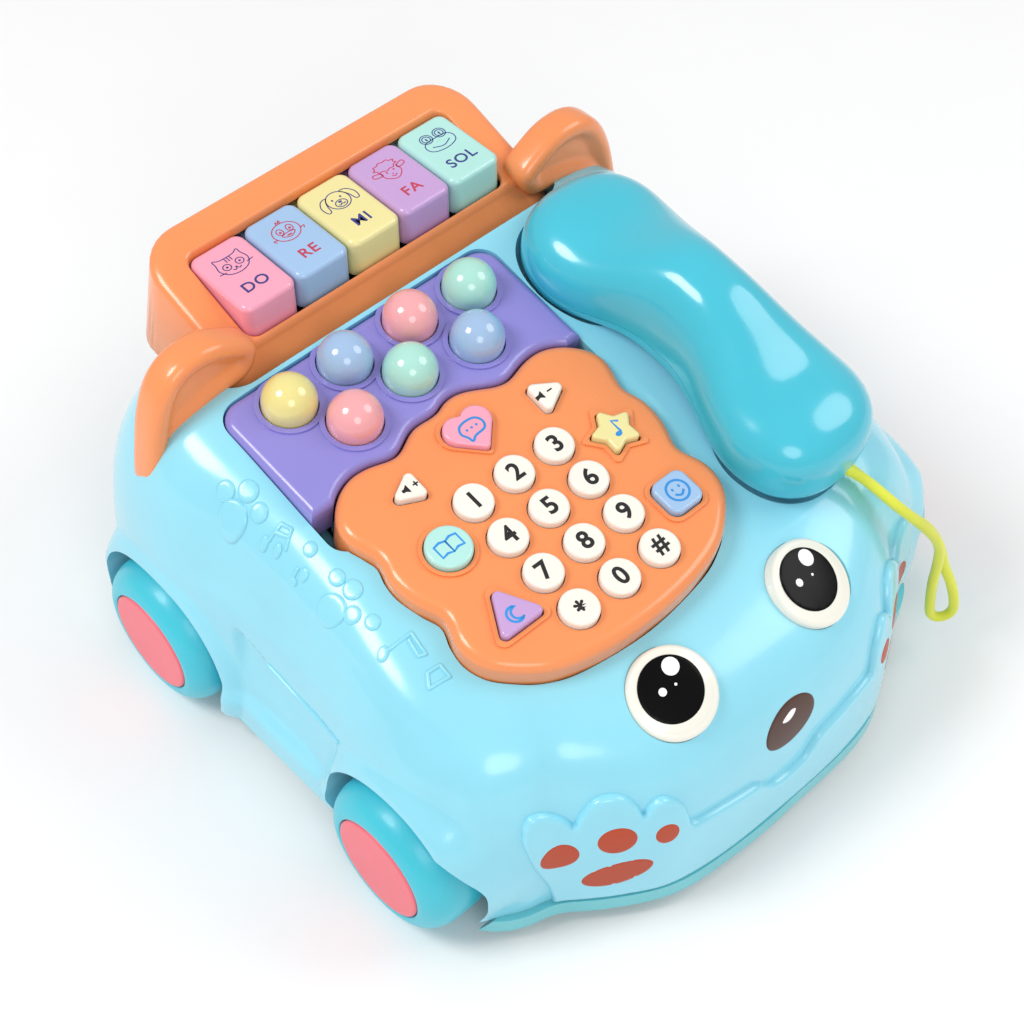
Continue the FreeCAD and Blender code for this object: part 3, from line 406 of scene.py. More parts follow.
def body_surface(theta, q):
    """Point of the body: theta is its direction seen from above, q runs from 0 to 1 at the sill."""
    r = q * reach(theta)
    x, y = r * np.cos(theta), r * np.sin(theta)
    front = smooth_step(0.45, 0.85, -np.sin(theta))
    n, m = 10 + 2 * front, 2.9 + 1.1 * front
    z = SILL + (deck(y) - SILL) * np.maximum(1 - q ** n, 0) ** (1 / m)
    return np.stack([fender_swell(x, y, z), y, z], -1)


def at_height(theta, z):
    """The body's point in direction theta at height z."""
    low, high = np.zeros_like(theta), np.ones_like(theta)
    for _ in range(34):
        middle = (low + high) / 2
        above = body_surface(theta, middle)[..., 2] > z
        low, high = np.where(above, middle, low), np.where(above, high, middle)
    return body_surface(theta, (low + high) / 2)


def unit(vectors):
    return vectors / np.maximum(np.linalg.norm(vectors, axis=-1, keepdims=True), 1e-9)


def side_frame(theta, z):
    """Points of the body's side and the way they face."""
    step = 0.4
    turn = step / reach(theta)
    across = at_height(theta + turn, z) - at_height(theta - turn, z)
    upward = at_height(theta, z + step) - at_height(theta, z - step)
    return at_height(theta, z), unit(np.cross(across, upward))


DOOR_RIDGE = [(-24, 50.5), (-20.8, 49.3), (-4.8, 47.5), (11.7, 49.3), (25.4, 54.9)]
SILL_BAR_REACH = 96.4
SHOULDER_LINE = [(-59.8, 80.8), (-38.8, 85.1), (-11.2, 84.9), (9.7, 85.2), (26, 86.4), (41.5, 88.1)]


def sculpted(points):
    """Door crease and shoulder line pressed into the body, and the bar along its sill."""
    x, y, z = points[..., 0], points[..., 1], points[..., 2]
    ridge = np.array(DOOR_RIDGE)
    below = np.interp(y, ridge[:, 0], ridge[:, 1]) - z
    panel = smooth_step(-24, -18, y) * smooth_step(25, 21, y)
    crease = 2.2 * panel * smooth_step(-1.0, 2.2, below) * smooth_step(28, 5, below)
    line = np.array(SHOULDER_LINE)
    outside = np.abs(x) - np.interp(y, line[:, 0], line[:, 1])
    stretch = smooth_step(-62, -50, y) * smooth_step(42, 30, y)
    shoulder = 0.7 * stretch * smooth_step(-1.5, 1.5, outside) * smooth_step(60, 70, z)
    between_wheels = smooth_step(-27, -19, y) * smooth_step(34, 27, y)
    short = np.maximum(0, SILL_BAR_REACH - np.interp(y, RIGHT_SIDE[:, 1], RIGHT_SIDE[:, 0]))
    bar = short * between_wheels * smooth_step(27, 20, z) * (np.abs(x) > 60)
    return crease + shoulder - bar


def body_grid(inset, turns, levels):
    """Rings of the body from its crown to the sill, drawn in along its normals."""
    fine = 1 - (1 - np.linspace(0, 1, 4000)) ** 3
    height = 80 * np.maximum(1 - fine ** 11, 0) ** (1 / 3.3)
    along = np.concatenate([[0], np.cumsum(np.hypot(100 * np.diff(fine), np.diff(height)))])
    q = np.interp(np.linspace(0, along[-1], levels + 1)[1:], along, fine)
    theta = np.linspace(-math.pi, math.pi, turns, endpoint=False)
    theta, q = np.meshgrid(theta, q)
    points = body_surface(theta, q)
    around = np.roll(points, -1, 1) - np.roll(points, 1, 1)
    normals = unit(np.cross(around, np.gradient(points, axis=0)) * -1)
    normals[-1, :, 2] = 0
    front = smooth_step(0.60, 0.70, -np.sin(theta)) * smooth_step(76, 60, points[..., 2])
    drawn = inset + BUMPER_STEP * front + sculpted(points)
    return points - unit(normals) * drawn[..., None]


def body_solid(inset, foot, turns=720, levels=150):
    grid = body_grid(inset, turns, levels)
    last = grid[-1].copy()
    last[:, 2] = foot
    rings = list(grid) + [last]
    points, faces = loft(rings, cap_end=True)
    crown = len(points)
    count = len(rings[0])
    faces += [(crown, (i + 1) % count, i) for i in range(count)]
    faces = [face[::-1] if len(face) == 4 else face for face in faces]
    middle = grid[0].mean(axis=0)
    return np.concatenate([points, middle[None]]), faces


# ---------------------------------------------------------------- solids and Booleans
def temporary(points, faces):
    """An object whose faces all look outwards, for a Boolean."""
    mesh = bpy.data.meshes.new("cutter")
    mesh.from_pydata([tuple(float(c) for c in p) for p in points], [], faces)
    work = bmesh.new()
    work.from_mesh(mesh)
    bmesh.ops.triangulate(work, faces=[f for f in work.faces if len(f.verts) > 4])
    bmesh.ops.recalc_face_normals(work, faces=work.faces)
    work.to_mesh(mesh)
    work.free()
    piece = bpy.data.objects.new("cutter", mesh)
    bpy.context.scene.collection.objects.link(piece)
    return piece


def combine(solid, operation, *others):
    """Boolean of (points, faces) solids, in millimetres."""
    piece = temporary(*solid)
    for other in others:
        cutter = temporary(*other)
        modifier = piece.modifiers.new("cut", "BOOLEAN")
        modifier.operation = operation
        modifier.solver = "MANIFOLD"
        modifier.object = cutter
        depsgraph = bpy.context.evaluated_depsgraph_get()
        result = bpy.data.meshes.new_from_object(piece.evaluated_get(depsgraph))
        piece.modifiers.clear()
        old, piece.data = piece.data, result
        bpy.data.meshes.remove(old)
        discard(cutter)
    points = np.array([v.co for v in piece.data.vertices])
    faces = [tuple(p.vertices) for p in piece.data.polygons]
    discard(piece)
    return points, faces


def discard(piece):
    mesh = piece.data
    bpy.data.objects.remove(piece)
    bpy.data.meshes.remove(mesh)


def prism(outline, low, high):
    outline = np.asarray(outline, float)
    rings = [np.column_stack([outline, np.full(len(outline), z)]) for z in (low, high)]
    return loft(rings, cap_start=True, cap_end=True)


def frame_of(axis):
    axis = Vector(axis).normalized()
    first = axis.cross(Vector((0, 0, 1)) if abs(axis.z) < 0.9 else Vector((1, 0, 0))).normalized()
    return np.array(first), np.array(axis.cross(first)), np.array(axis)


def lathe(profile, origin, axis, turns=128):
    """Closed body turned about an axis; profile holds (distance along, radius), radius 0 at its ends."""
    first, second, along = frame_of(axis)
    angles = np.linspace(0, 2 * math.pi, turns, endpoint=False)
    wheel = np.cos(angles)[:, None] * first + np.sin(angles)[:, None] * second
    rings = [np.asarray(origin) + d * along + max(r, 0.01) * wheel for d, r in profile]
    return loft(rings, cap_start=True, cap_end=True)


def rod(radius, start, end, turns=96):
    start, end = np.array(start, float), np.array(end, float)
    length = float(np.linalg.norm(end - start))
    return lathe([(0, radius), (length, radius)], start, end - start, turns)


def grown(outline, distance):
    """A closed outline that turns left, moved outwards."""
    along = unit(np.roll(outline, -1, 0) - np.roll(outline, 1, 0))
    return outline + distance * np.stack([along[:, 1], -along[:, 0]], -1)


def turned_left(outline):
    x, y = outline[:, 0], outline[:, 1]
    area = np.sum(x * np.roll(y, -1) - y * np.roll(x, -1))
    return outline if area > 0 else outline[::-1]


# The button deck's own axes: x to the right, y along the deck, h square to it.
DECK_TILT = math.radians(9.67)
DECK_POINT = np.array([-19.85, -34.4, 92.3])
DECK_AXES = np.array([(1, 0, 0), (0, math.cos(DECK_TILT), math.sin(DECK_TILT)),
                      (0, -math.sin(DECK_TILT), math.cos(DECK_TILT))])


def on_deck(points):
    return DECK_POINT + np.asarray(points, float) @ DECK_AXES


def deck_solid(solid):
    return on_deck(solid[0]), solid[1]


BEAR = [(0, 51.5), (11, 50.6), (20.5, 46.8), (27, 48.2), (35, 48.9), (43.5, 44.6),
        (48.4, 35.8), (46.9, 28.5), (45.9, 24), (47.2, 19), (47.5, 13.5), (45.8, 6),
        (43.9, 0), (45.8, -6), (46.4, -12), (44.4, -18), (40, -23), (33, -28.3),
        (22, -32.3), (0, -34.6)]
BEAR_OUTLINE = turned_left(smooth_closed(BEAR + [(-x, y) for x, y in BEAR[-2:0:-1]], 8))
DOME_SEAT = (-51.0, 48.6, 31.5, 87.6)


def rounded_rectangle(x0, x1, y0, y1, front_radius, back_radius, steps=8):
    corners = [(x1 - front_radius, y0 + front_radius, front_radius, -90),
               (x1 - back_radius, y1 - back_radius, back_radius, 0),
               (x0 + back_radius, y1 - back_radius, back_radius, 90),
               (x0 + front_radius, y0 + front_radius, front_radius, 180)]
    points = []
    for cx, cy, radius, start in corners:
        for step in range(steps + 1):
            angle = math.radians(start + 90 * step / steps)
            points.append((cx + radius * math.cos(angle), cy + radius * math.sin(angle)))
    return np.array(points)


def panel_seats(grow):
    """Prisms of the two button panels on the deck, moved out by grow."""
    x0, x1, y0, y1 = DOME_SEAT
    domes = rounded_rectangle(x0 - grow, x1 + grow, y0, y1 + grow, 7, 7)
    return [deck_solid(prism(grown(BEAR_OUTLINE, grow), -18.5, 14)), deck_solid(prism(domes, -18.5, 14))]


# ---------------------------------------------------------------- handset
HANDSET_CENTRE = np.array([73.0, 24.8, 0.5])
HANDSET_LENGTH = 121.0


def handset_rings(grow, stations=110, steps=96):
    """Bone-shaped receiver on the deck's axes: full ends and a narrower raised grip."""
    t = -np.cos(np.pi * np.linspace(0.012, 0.988, stations))
    blend = (1 - np.cos(np.pi * np.clip((np.abs(t) - 0.05) / 0.6, 0, 1))) / 2
    nose = np.clip((np.abs(t) - 0.62) / 0.38, 0, 1)
    cap = (1 - nose ** 2.4) ** (1 / 2.4)
    half = (15.9 + 7.2 * blend) * cap + grow
    up = (27.95 - 12.35 * blend) * cap ** 0.9 + grow
    down = np.maximum((1.5 + 14.3 * blend) * cap ** 0.6 + grow, 0.4)
    y = (HANDSET_LENGTH / 2 + grow) * t
    angles = np.linspace(0, 2 * math.pi, steps, endpoint=False)
    c, s = np.cos(angles), np.sin(angles)
    c, s = np.sign(c) * np.abs(c) ** 0.8, np.sign(s) * np.abs(s) ** 0.8
    rings = []
    for row in range(stations):
        height = np.where(s > 0, up[row], down[row])
        ring = np.stack([half[row] * c, np.full(steps, y[row]), height * s], -1)
        rings.append(HANDSET_CENTRE + ring)
    return rings


def handset_solid(grow):
    return deck_solid(loft(handset_rings(grow), cap_start=True, cap_end=True))


def seam_block(above, gap=0.12):
    """Everything above, or below, the curved seam between the handset's halves."""
    t = np.linspace(-1.08, 1.08, 61)
    seam = -6.5 + 10 * np.maximum(0, 1 - (t / 0.62) ** 2) + (gap if above else -gap)
    y = HANDSET_CENTRE[1] + HANDSET_LENGTH / 2 * t
    far = 60 if above else -60
    side = [(a, b) for a, b in zip(y, seam)] + [(y[-1], far), (y[0], far)]
    rings = [[(x, a, b) for a, b in side] for x in (35, 115)]
    return deck_solid(loft(rings, cap_start=True, cap_end=True))


def make_handset():
    hollow = combine(handset_solid(0), "DIFFERENCE", handset_solid(-WALL))
    for name, above in (("handset_top", True), ("handset_bottom", False)):
        half = combine(hollow, "INTERSECT", seam_block(above))
        if not above:
            half = combine(half, "DIFFERENCE", *handset_screw_holes())
        add_mesh(name, *half, TEAL, "handset", 30, ["handset_upper" if above else "handset_lower"])


def handset_screw_holes():
    return [deck_solid(rod(2.4, (73, y, -40), (73, y, -8))) for y in (-16, 65)]


# ---------------------------------------------------------------- body
SCREW_POSTS = [(78, 2), (-78, 2), (44, -86), (-44, -86), (46, 92), (-46, 92)]
HOUSING_FOOT = 93.4


def eye_frame(side):
    """Where an eye sits on the bonnet, with directions across, up and out of it."""
    centre = np.array([side * 27.2, -83.1, 70.6])
    looks = unit(np.array([side * 0.16, -0.50, 0.85]))
    across = unit(np.cross((0, 0.85, 0.5), looks))
    return centre, across, np.cross(looks, across), looks


def eye_rod(side, radius, low, high):
    centre, _, _, looks = eye_frame(side)
    return rod(radius, centre + looks * low, centre + looks * high)


def wheel_wells(radius, inner):
    wells = []
    for y in AXLE_Y.values():
        for side in (-1, 1):
            wells.append(rod(radius, (side * inner, y, WHEEL_Z), (side * 130, y, WHEEL_Z)))
    return wells


def housing_prism(grow, low):
    return prism(rounded_rectangle(-64 - grow, 64 + grow, 54.5 - grow, 105.1 + grow, 9, 14), low, 130)


def make_shell():
    """Hollow casing: the body less its cavity, which leaves walls round every seat and well."""
    seats = panel_seats(2.4) + [handset_solid(3.2), housing_prism(2.2, HOUSING_FOOT - 2.5)]
    seats += [eye_rod(side, 15, -7, 6) for side in (-1, 1)] + wheel_wells(ARCH_RADIUS + 2, WELL_INNER - 2)
    seats += [rod(4.0, (x, y, 0), (x, y, 92 if y > 60 else 130), 32) for x, y in SCREW_POSTS]
    cavity = combine(body_solid(WALL, SILL - 4, 240, 60), "DIFFERENCE", *seats)
    hollows = wheel_wells(ARCH_RADIUS, WELL_INNER) + panel_seats(0.35) + [handset_solid(1.1)]
    hollows += [housing_prism(0.25, HOUSING_FOOT)] + [eye_rod(side, 13.15, -4.5, 8) for side in (-1, 1)]
    hollows += [prism(rounded_rectangle(-58, 58, 60.5, 90, 5, 10), 80, 100)]
    hollows += [rod(1.3, (x, y, 0), (x, y, 24), 24) for x, y in SCREW_POSTS]
    for y in AXLE_Y.values():
        hollows.append(prism(rounded_rectangle(-90, 90, y - 3.5, y + 3.5, 1, 1), 0, WHEEL_Z + 3.5))
    cavity = combine(cavity, "UNION", *hollows)
    shell = combine(body_solid(0, SILL), "DIFFERENCE", cavity)
    add_mesh("body_shell", *shell, SHELL, "body", 32, ["upper_shell"])


make_handset()
make_shell()


# ---------------------------------------------------------------- conforming details
def edge_distance(points, outline):
    """Distance of each point from a closed outline, and whether it lies inside."""
    nearest = np.full(len(points), 1e9)
    inside = np.zeros(len(points), bool)
    for a, b in zip(outline, np.roll(outline, -1, 0)):
        along = b - a
        share = np.clip(((points - a) @ along) / max(along @ along, 1e-12), 0, 1)
        nearest = np.minimum(nearest, np.linalg.norm(points - a - share[:, None] * along, axis=1))
        if a[1] != b[1]:
            crosses = (a[1] > points[:, 1]) != (b[1] > points[:, 1])
            at = a[0] + (points[:, 1] - a[1]) / (b[1] - a[1]) * (b[0] - a[0])
            inside ^= crosses & (points[:, 0] < at)
    return nearest, inside


def filled(outline, spacing, edge):
    """Triangles that fill an outline, with close rows along its edge."""
    outline = turned_left(np.asarray(outline, float))
    extra = []
    for share in (0.08, 0.3, 0.65, 1.0):
        row = grown(outline, -share * edge)
        away, inside = edge_distance(row, outline)
        extra.append(row[inside & (away > 0.85 * share * edge)])
    low, high = outline.min(0), outline.max(0)
    xs, ys = np.meshgrid(np.arange(low[0], high[0], spacing), np.arange(low[1], high[1], spacing))
    grid = np.column_stack([xs.ravel(), ys.ravel()])
    away, inside = edge_distance(grid, outline)
    extra.append(grid[inside & (away > edge + 0.4 * spacing)])
    points = np.concatenate([outline] + extra)
    loop = list(range(len(outline)))
    result = delaunay_2d_cdt([Vector(p) for p in points], [], [loop], 1, 1e-4)
    points = np.array([tuple(v) for v in result[0]])
    faces = [tuple(face) for face in result[2]]
    away, _ = edge_distance(points, outline)
    return points, faces, away


def inflated(outline, spacing, edge, top, bottom, place):
    """Closed solid over an outline; top and bottom give its heights from the distance to the edge."""
    points, faces, away = filled(outline, spacing, edge)
    upper = place(points, top(away, points))
    lower = place(points, bottom(away, points))
    count = len(points)
    sides = {}
    for face in faces:
        for a, b in zip(face, face[1:] + face[:1]):
            sides[(a, b)] = True
    walls = [(b, a, a + count, b + count) for a, b in sides if (b, a) not in sides]
    under = [tuple(i + count for i in face[::-1]) for face in faces]
    return np.concatenate([upper, lower]), faces + walls + under


def rounded_edge(away, radius):
    return np.sqrt(1 - (1 - np.clip(away / radius, 0, 1)) ** 2)


def relief(outline, place, rise, sink, edge, spacing=1.0):
    """Raised shape with a rounded edge, from sink below a surface to rise above it."""
    return inflated(outline, spacing, edge, lambda away, _: sink + (rise - sink) * rounded_edge(away, edge),
                    lambda away, _: np.full(len(away), sink - 0.5), place)


MIDDLE_REACH = 110.0


def on_side(points, heights):
    """Places (turn of theta times MIDDLE_REACH, z) on the body's side."""
    spots, normals = side_frame(points[:, 0] / MIDDLE_REACH, points[:, 1])
    return spots + normals * heights[:, None]


def side_outline(degrees_and_heights):
    return [(math.radians(a) * MIDDLE_REACH, z) for a, z in degrees_and_heights]


def ellipse(cx, cy, a, b, tilt=0, steps=40):
    angles = np.linspace(0, 2 * math.pi, steps, endpoint=False)
    x, y = a * np.cos(angles), b * np.sin(angles)
    c, s = math.cos(math.radians(tilt)), math.sin(math.radians(tilt))
    return np.column_stack([cx + x * c - y * s, cy + x * s + y * c])


# Bumper: a plate on the lower front whose top edge rises into two paws.  (degrees, z) from
# its left end to the middle of the smile; the right half mirrors it.
PAW_EDGE = [(-130, SILL + 0.3), (-130.1, 14.3), (-131, 23.1), (-132.5, 32.9), (-134.2, 45.9), (-134.3, 50),
            (-134.2, 53.1), (-133.4, 55.7), (-131.8, 55.6), (-129.7, 53.1), (-127.9, 49.8), (-127.2, 48.1),
            (-126.8, 50.7), (-125.4, 54.9), (-123.9, 57.1), (-121.9, 57.7), (-119.9, 56.6), (-118.2, 53.4),
            (-117.2, 49.0), (-116.5, 51.2), (-114.8, 53.4), (-113.2, 52.6), (-111.3, 49.0), (-110.3, 44.7),
            (-109.7, 39.5), (-109.1, 38.0), (-106.9, 37.7), (-104.2, 37.2), (-100, 35.9), (-96.7, 34.5),
            (-95.2, 31.7), (-93.8, 29.2), (-92, 28.0), (-90, 27.6)]


def bumper_outline():
    left = side_outline(PAW_EDGE)
    right = side_outline([(-180 - a, z) for a, z in PAW_EDGE[-2::-1]])
    top = smooth_open(left + right, 6)
    return np.concatenate([top, resampled_line(top[-1], top[0], 1.5)])


def resampled_line(start, end, step):
    count = int(np.linalg.norm(end - start) / step)
    share = np.linspace(0, 1, count, endpoint=False)[1:, None]
    return start + share * (end - start)


def dense(outline, step):
    """The same outline with points no further apart than step."""
    ends = np.roll(outline, -1, 0)
    return np.concatenate([np.vstack([a, resampled_line(a, b, step)]) for a, b in zip(outline, ends)])


# Paw pads printed on the bumper: degrees, z, half-width in degrees, half-height, tilt.
PAW_PADS = [(-129.25, 36.9, 2.83, 5.5, -7), (-121.1, 41.2, 2.92, 5.6, 14), (-113.8, 39.9, 1.84, 4.2, 13),
            (-120.9, 25.0, 5.4, 5.3, 17)]


def make_bumper():
    bumper = relief(bumper_outline(), on_side, 0.0, -BUMPER_STEP - 0.4, 1.3, 1.3)
    add_mesh("bumper", *bumper, SHELL, "body", 40)
    pads = []
    for degrees, z, half_turn, half_height, tilt in PAW_PADS:
        for middle, lean in ((degrees, tilt), (-180 - degrees, -tilt)):
            outline = ellipse(math.radians(middle) * MIDDLE_REACH, z,
                              math.radians(half_turn) * MIDDLE_REACH, half_height, lean)
            pads.append(relief(outline, on_side, 0.08, -0.3, 0.25))
    add_mesh("paw_pads", *merged(pads), RUST, "body", 40)


def side_turn(y, z):
    """Direction in which the right side passes through y at height z."""
    turns = np.linspace(-0.5, 0.5, 201)
    return float(np.interp(y, at_height(turns, np.full(201, z))[:, 1], turns))


def make_door_beads():
    """Thin raised line along the top of each door's crease."""
    path = smooth_open(DOOR_RIDGE[:-1], 10)
    beads = []
    for flip in (False, True):
        turns = [side_turn(y, z) for y, z in path]
        turns = [math.pi - turn if flip else turn for turn in turns]
        line = np.column_stack([np.array(turns) * MIDDLE_REACH, path[:, 1]])
        along = unit(np.gradient(line, axis=0))
        side = np.stack([-along[:, 1], along[:, 0]], -1) * 0.7
        outline = np.concatenate([line - side, (line + side)[::-1]])
        beads.append(relief(outline, on_side, 0.6, -1.0, 0.6, 0.8))
    add_mesh("door_beads", *merged(beads), SHELL, "body", 40)


# ---------------------------------------------------------------- face
NOSE = (-89.2, 48.9, 10.6, 7.8, 10)


def on_bonnet(points, heights):
    """As on_side, on the bonnet behind the bumper, which stands back by its thickness."""
    spots, normals = side_frame(points[:, 0] / MIDDLE_REACH, points[:, 1])
    back = BUMPER_STEP * smooth_step(76, 60, points[:, 1])
    return spots + normals * (heights - back)[:, None]


def make_nose():
    degrees, z, half_width, half_height, tilt = NOSE
    middle = math.radians(degrees) * MIDDLE_REACH
    outline = ellipse(middle, z, half_width, half_height, tilt)
    add_mesh("nose", *relief(outline, on_bonnet, 0.25, -0.3, 0.8, 0.8), BROWN, "body", 40)
    shine = smooth_closed([(middle - 3.4, z + 2.6), (middle - 1.4, z + 1.4), (middle + 1.0, z + 2.0),
                           (middle + 2.6, z + 3.8), (middle + 0.2, z + 4.4)], 8)
    add_mesh("nose_shine", *relief(shine, on_bonnet, 0.4, 0.0, 0.3, 0.5), GLINT, "body", 40)


EYE_RADIUS, EYE_RISE = 13.0, 2.5
# For each eye: places of pupil and glints across and up the disc, with their radii.
EYES = {-1: [("pupil", -0.3, 1.3, 9.3), ("glint", 3.2, 6.3, 2.6), ("glint", -2.8, 2.1, 1.25),
             ("glint", 1.4, 1.7, 0.5)],
        1: [("pupil", -1.5, 1.3, 9.3), ("glint", 1.8, 6.5, 2.6), ("glint", -5.4, 2.3, 1.25),
            ("glint", -0.1, 1.8, 0.5)]}


def eye_crown(x, y):
    """Height of the slightly domed disc above its seat's middle."""
    return EYE_RISE - 0.9 * (x * x + y * y) / EYE_RADIUS ** 2


def eye_place(side):
    centre, across, up, looks = eye_frame(side)

    def place(points, heights):
        crown = eye_crown(points[:, 0], points[:, 1])
        return centre + points[:, :1] * across + points[:, 1:] * up + (crown + heights)[:, None] * looks
    return place


def make_eyes():
    discs, pupils, glints = [], [], []
    for side, marks in EYES.items():
        centre, _, _, looks = eye_frame(side)
        rim = 1.8
        profile = [(-4.4, 0), (-4.4, EYE_RADIUS)]
        for step in range(9):
            angle = math.pi / 2 * step / 8
            profile.append((-0.6 + rim * math.sin(angle), EYE_RADIUS - rim * (1 - math.cos(angle))))
        profile += [(eye_crown(r, 0) + (1.2 - eye_crown(EYE_RADIUS - rim, 0)) * (r / 11.2) ** 6, r)
                    for r in np.linspace(11, 0, 24)]
        discs.append(lathe(profile, centre, looks))
        for kind, x, y, radius in marks:
            rise = 0.06 if kind == "pupil" else 0.12
            mark = relief(ellipse(x, y, radius, radius, steps=64), eye_place(side), rise, -0.2, 0.2, 1.0)
            (pupils if kind == "pupil" else glints).append(mark)
    add_mesh("eye_discs", *merged(discs), WHITE, "body", 50, ["eyes"])
    add_mesh("eye_pupils", *merged(pupils), BLACK, "body", 40)
    add_mesh("eye_glints", *merged(glints), GLINT, "body", 40)


# ---------------------------------------------------------------- marks moulded on the left deck
def deck_place(points, heights):
    """Places (x, y) on the top of the body, measured square to it."""
    def at(x, y):
        theta, r = np.arctan2(y, x), np.hypot(x, y)
        spots = body_surface(theta, np.clip(r / reach(theta), 0, 0.9999))
        return spots - np.array([0, 0, 1]) * sculpted(spots)[:, None]
    x, y = points[:, 0], points[:, 1]
    step = 0.4
    normals = unit(np.cross(at(x + step, y) - at(x - step, y), at(x, y + step) - at(x, y - step)))
    return at(x, y) + normals * heights[:, None]


# Ovals of the paw prints and notes: x, y, half-width, half-length.
PAW_BEANS = [(-81.3, 35.4, 2.5, 2.9), (-77.3, 30.5, 2.9, 3.2), (-83.9, 29.7, 3.7, 4.7),
             (-78.6, 24.4, 2.5, 2.7), (-75.1, -3.6, 2.3, 2.6), (-74.3, -9.1, 2.8, 3.0),
             (-80.9, -8.1, 3.6, 4.6), (-78.5, -13.8, 2.4, 2.6), (-76.3, -19.4, 2.2, 2.4),
             (-75.3, 7.2, 2.1, 2.2)]
NOTE_STROKES = [[(-80.9, 17.9), (-76.4, 17.8), (-75.4, 14.7), (-79.4, 12.6)], [(-78.6, 17.4), (-77.2, 13.9)],
                [(-80.4, 6.7), (-82.4, 6.5), (-82.6, 5.2)], [(-77.7, -27.9), (-70.9, -28.7), (-71.8, -35.4)],
                [(-71.8, -35.4), (-73.6, -34.6), (-72.6, -29.7)],
                [(-74.8, -39.4), (-70.9, -40.1), (-71.1, -44), (-77.1, -42.7), (-74.8, -39.4)]]
NOTE_HEADS = [(-82.1, 18.6, 1.7, 1.3), (-80.9, 14.3, 1.7, 1.3), (-80.2, 4.2, 1.7, 1.5),
              (-79.7, -27.4, 2.2, 1.7)]


def band(path, half_width):
    """Closed outlines, one for each leg of a line, with round ends."""
    path = np.array(path, float)
    along = unit(np.diff(path, axis=0))
    outlines = []
    for a, b, way in zip(path, path[1:], along):
        turn = math.atan2(way[1], way[0]) + math.pi / 2
        half = np.linspace(0, math.pi, 7)
        start = [a + half_width * np.array([math.cos(turn + k), math.sin(turn + k)]) for k in half]
        end = [b - half_width * np.array([math.cos(turn + k), math.sin(turn + k)]) for k in half]
        outlines.append(np.array(start + end))
    return outlines


def make_deck_marks():
    marks = []
    for x, y, a, b in PAW_BEANS:
        marks.append(relief(ellipse(x, y, a, b, 8), deck_place, 0.75, -0.3, 0.9, 0.7))
    for x, y, a, b in NOTE_HEADS:
        marks.append(relief(ellipse(x, y, a, b, 30), deck_place, 0.7, -0.3, 0.7, 0.6))
    for path in NOTE_STROKES:
        for outline in band(path, 0.65):
            marks.append(relief(outline, deck_place, 0.65, -0.3, 0.55, 0.5))
    add_mesh("moulded_marks", *merged(marks), SHELL, "body", 40)


make_bumper()
make_door_beads()
make_nose()
make_eyes()
make_deck_marks()


# ---------------------------------------------------------------- piano housing
BEZEL_FRONT, BEZEL_FRONT_Z, BEZEL_SLOPE = 62.5, 107.9, math.tan(math.radians(20.0))
WINDOW = (-48.6, 48.2, 63.9, 93.5)


def sloped(outline, drop):
    """Ring of a plan outline at some depth below the sloping top."""
    z = BEZEL_FRONT_Z + BEZEL_SLOPE * (outline[:, 1] - BEZEL_FRONT) - drop
    return np.column_stack([outline, z])


def housing_rings(grow):
    skirt = rounded_rectangle(-60.5 - grow, 60.5 + grow, 55.5 - grow, 95.5 + grow, 9, 14)
    foot = rounded_rectangle(-64 - grow, 64 + grow, 54.5 - grow, 105.1 + grow, 9, 14)
    rings = [np.column_stack([skirt, HOUSING_FOOT - 0.5 - 11 * smooth_step(66, 84, skirt[:, 1])]),
             np.column_stack([foot, np.full(len(foot), HOUSING_FOOT)])]
    side, rear, front, depth = 4.5, 4.5, 1.2, 3.2
    for step in range(9):
        angle = math.pi / 2 * step / 8
        bite = 1 - math.cos(angle)
        outline = rounded_rectangle(-59.3 - grow + side * bite, 59.3 + grow - side * bite,
                                    62.5 - grow + front * bite, 104.2 + grow - rear * bite, 8, 14)
        rings.append(sloped(outline, depth * (1 - math.sin(angle)) - grow))
    return rings


def window_cutter():
    x0, x1, y0, y1 = WINDOW
    plain = rounded_rectangle(x0, x1, y0, y1, 3.5, 3.5)
    rings = [np.column_stack([plain, np.full(len(plain), 90.0)])]
    lip = 0.9
    for step in range(7):
        angle = math.pi / 2 * step / 6
        flare = lip * (1 - math.cos(angle))
        rings.append(sloped(rounded_rectangle(x0 - flare, x1 + flare, y0 - min(flare, 0.5), y1 + flare, 4, 4),
                            lip * (1 - math.sin(angle))))
    rings.append(sloped(rounded_rectangle(x0 - lip, x1 + lip, y0 - 0.5, y1 + lip, 4, 4), -12))
    return loft(rings, cap_start=True, cap_end=True)


EAR = [(-50, 111.4), (-58, 117.9), (-66, 120.9), (-75, 120.2), (-82, 115.0), (-86.7, 105.2),
       (-89.6, 92.4), (-91.2, 81.6), (-89.8, 78.2), (-87.2, 80.1), (-82.6, 88.4), (-75, 96.4),
       (-65.5, 100.4), (-54, 102.4)]
EAR_FRONT, EAR_BACK = 57.5, 69.0


def ear(side):
    """Flap with a full round rim and a shallow dish in its front."""
    outline = smooth_closed([(side * -x, z) for x, z in EAR], 8)

    def front(away, _):
        rim = 3.2 * (1 - rounded_edge(away, 3.2))
        return EAR_FRONT + rim + 2.2 * smooth_step(3.6, 7.5, away)

    def back(away, _):
        return EAR_BACK - 3.6 * (1 - rounded_edge(away, 3.6))

    def place(points, heights):
        return np.column_stack([points[:, 0], heights, points[:, 1]])
    return inflated(outline, 1.2, 3.2, front, back, place)


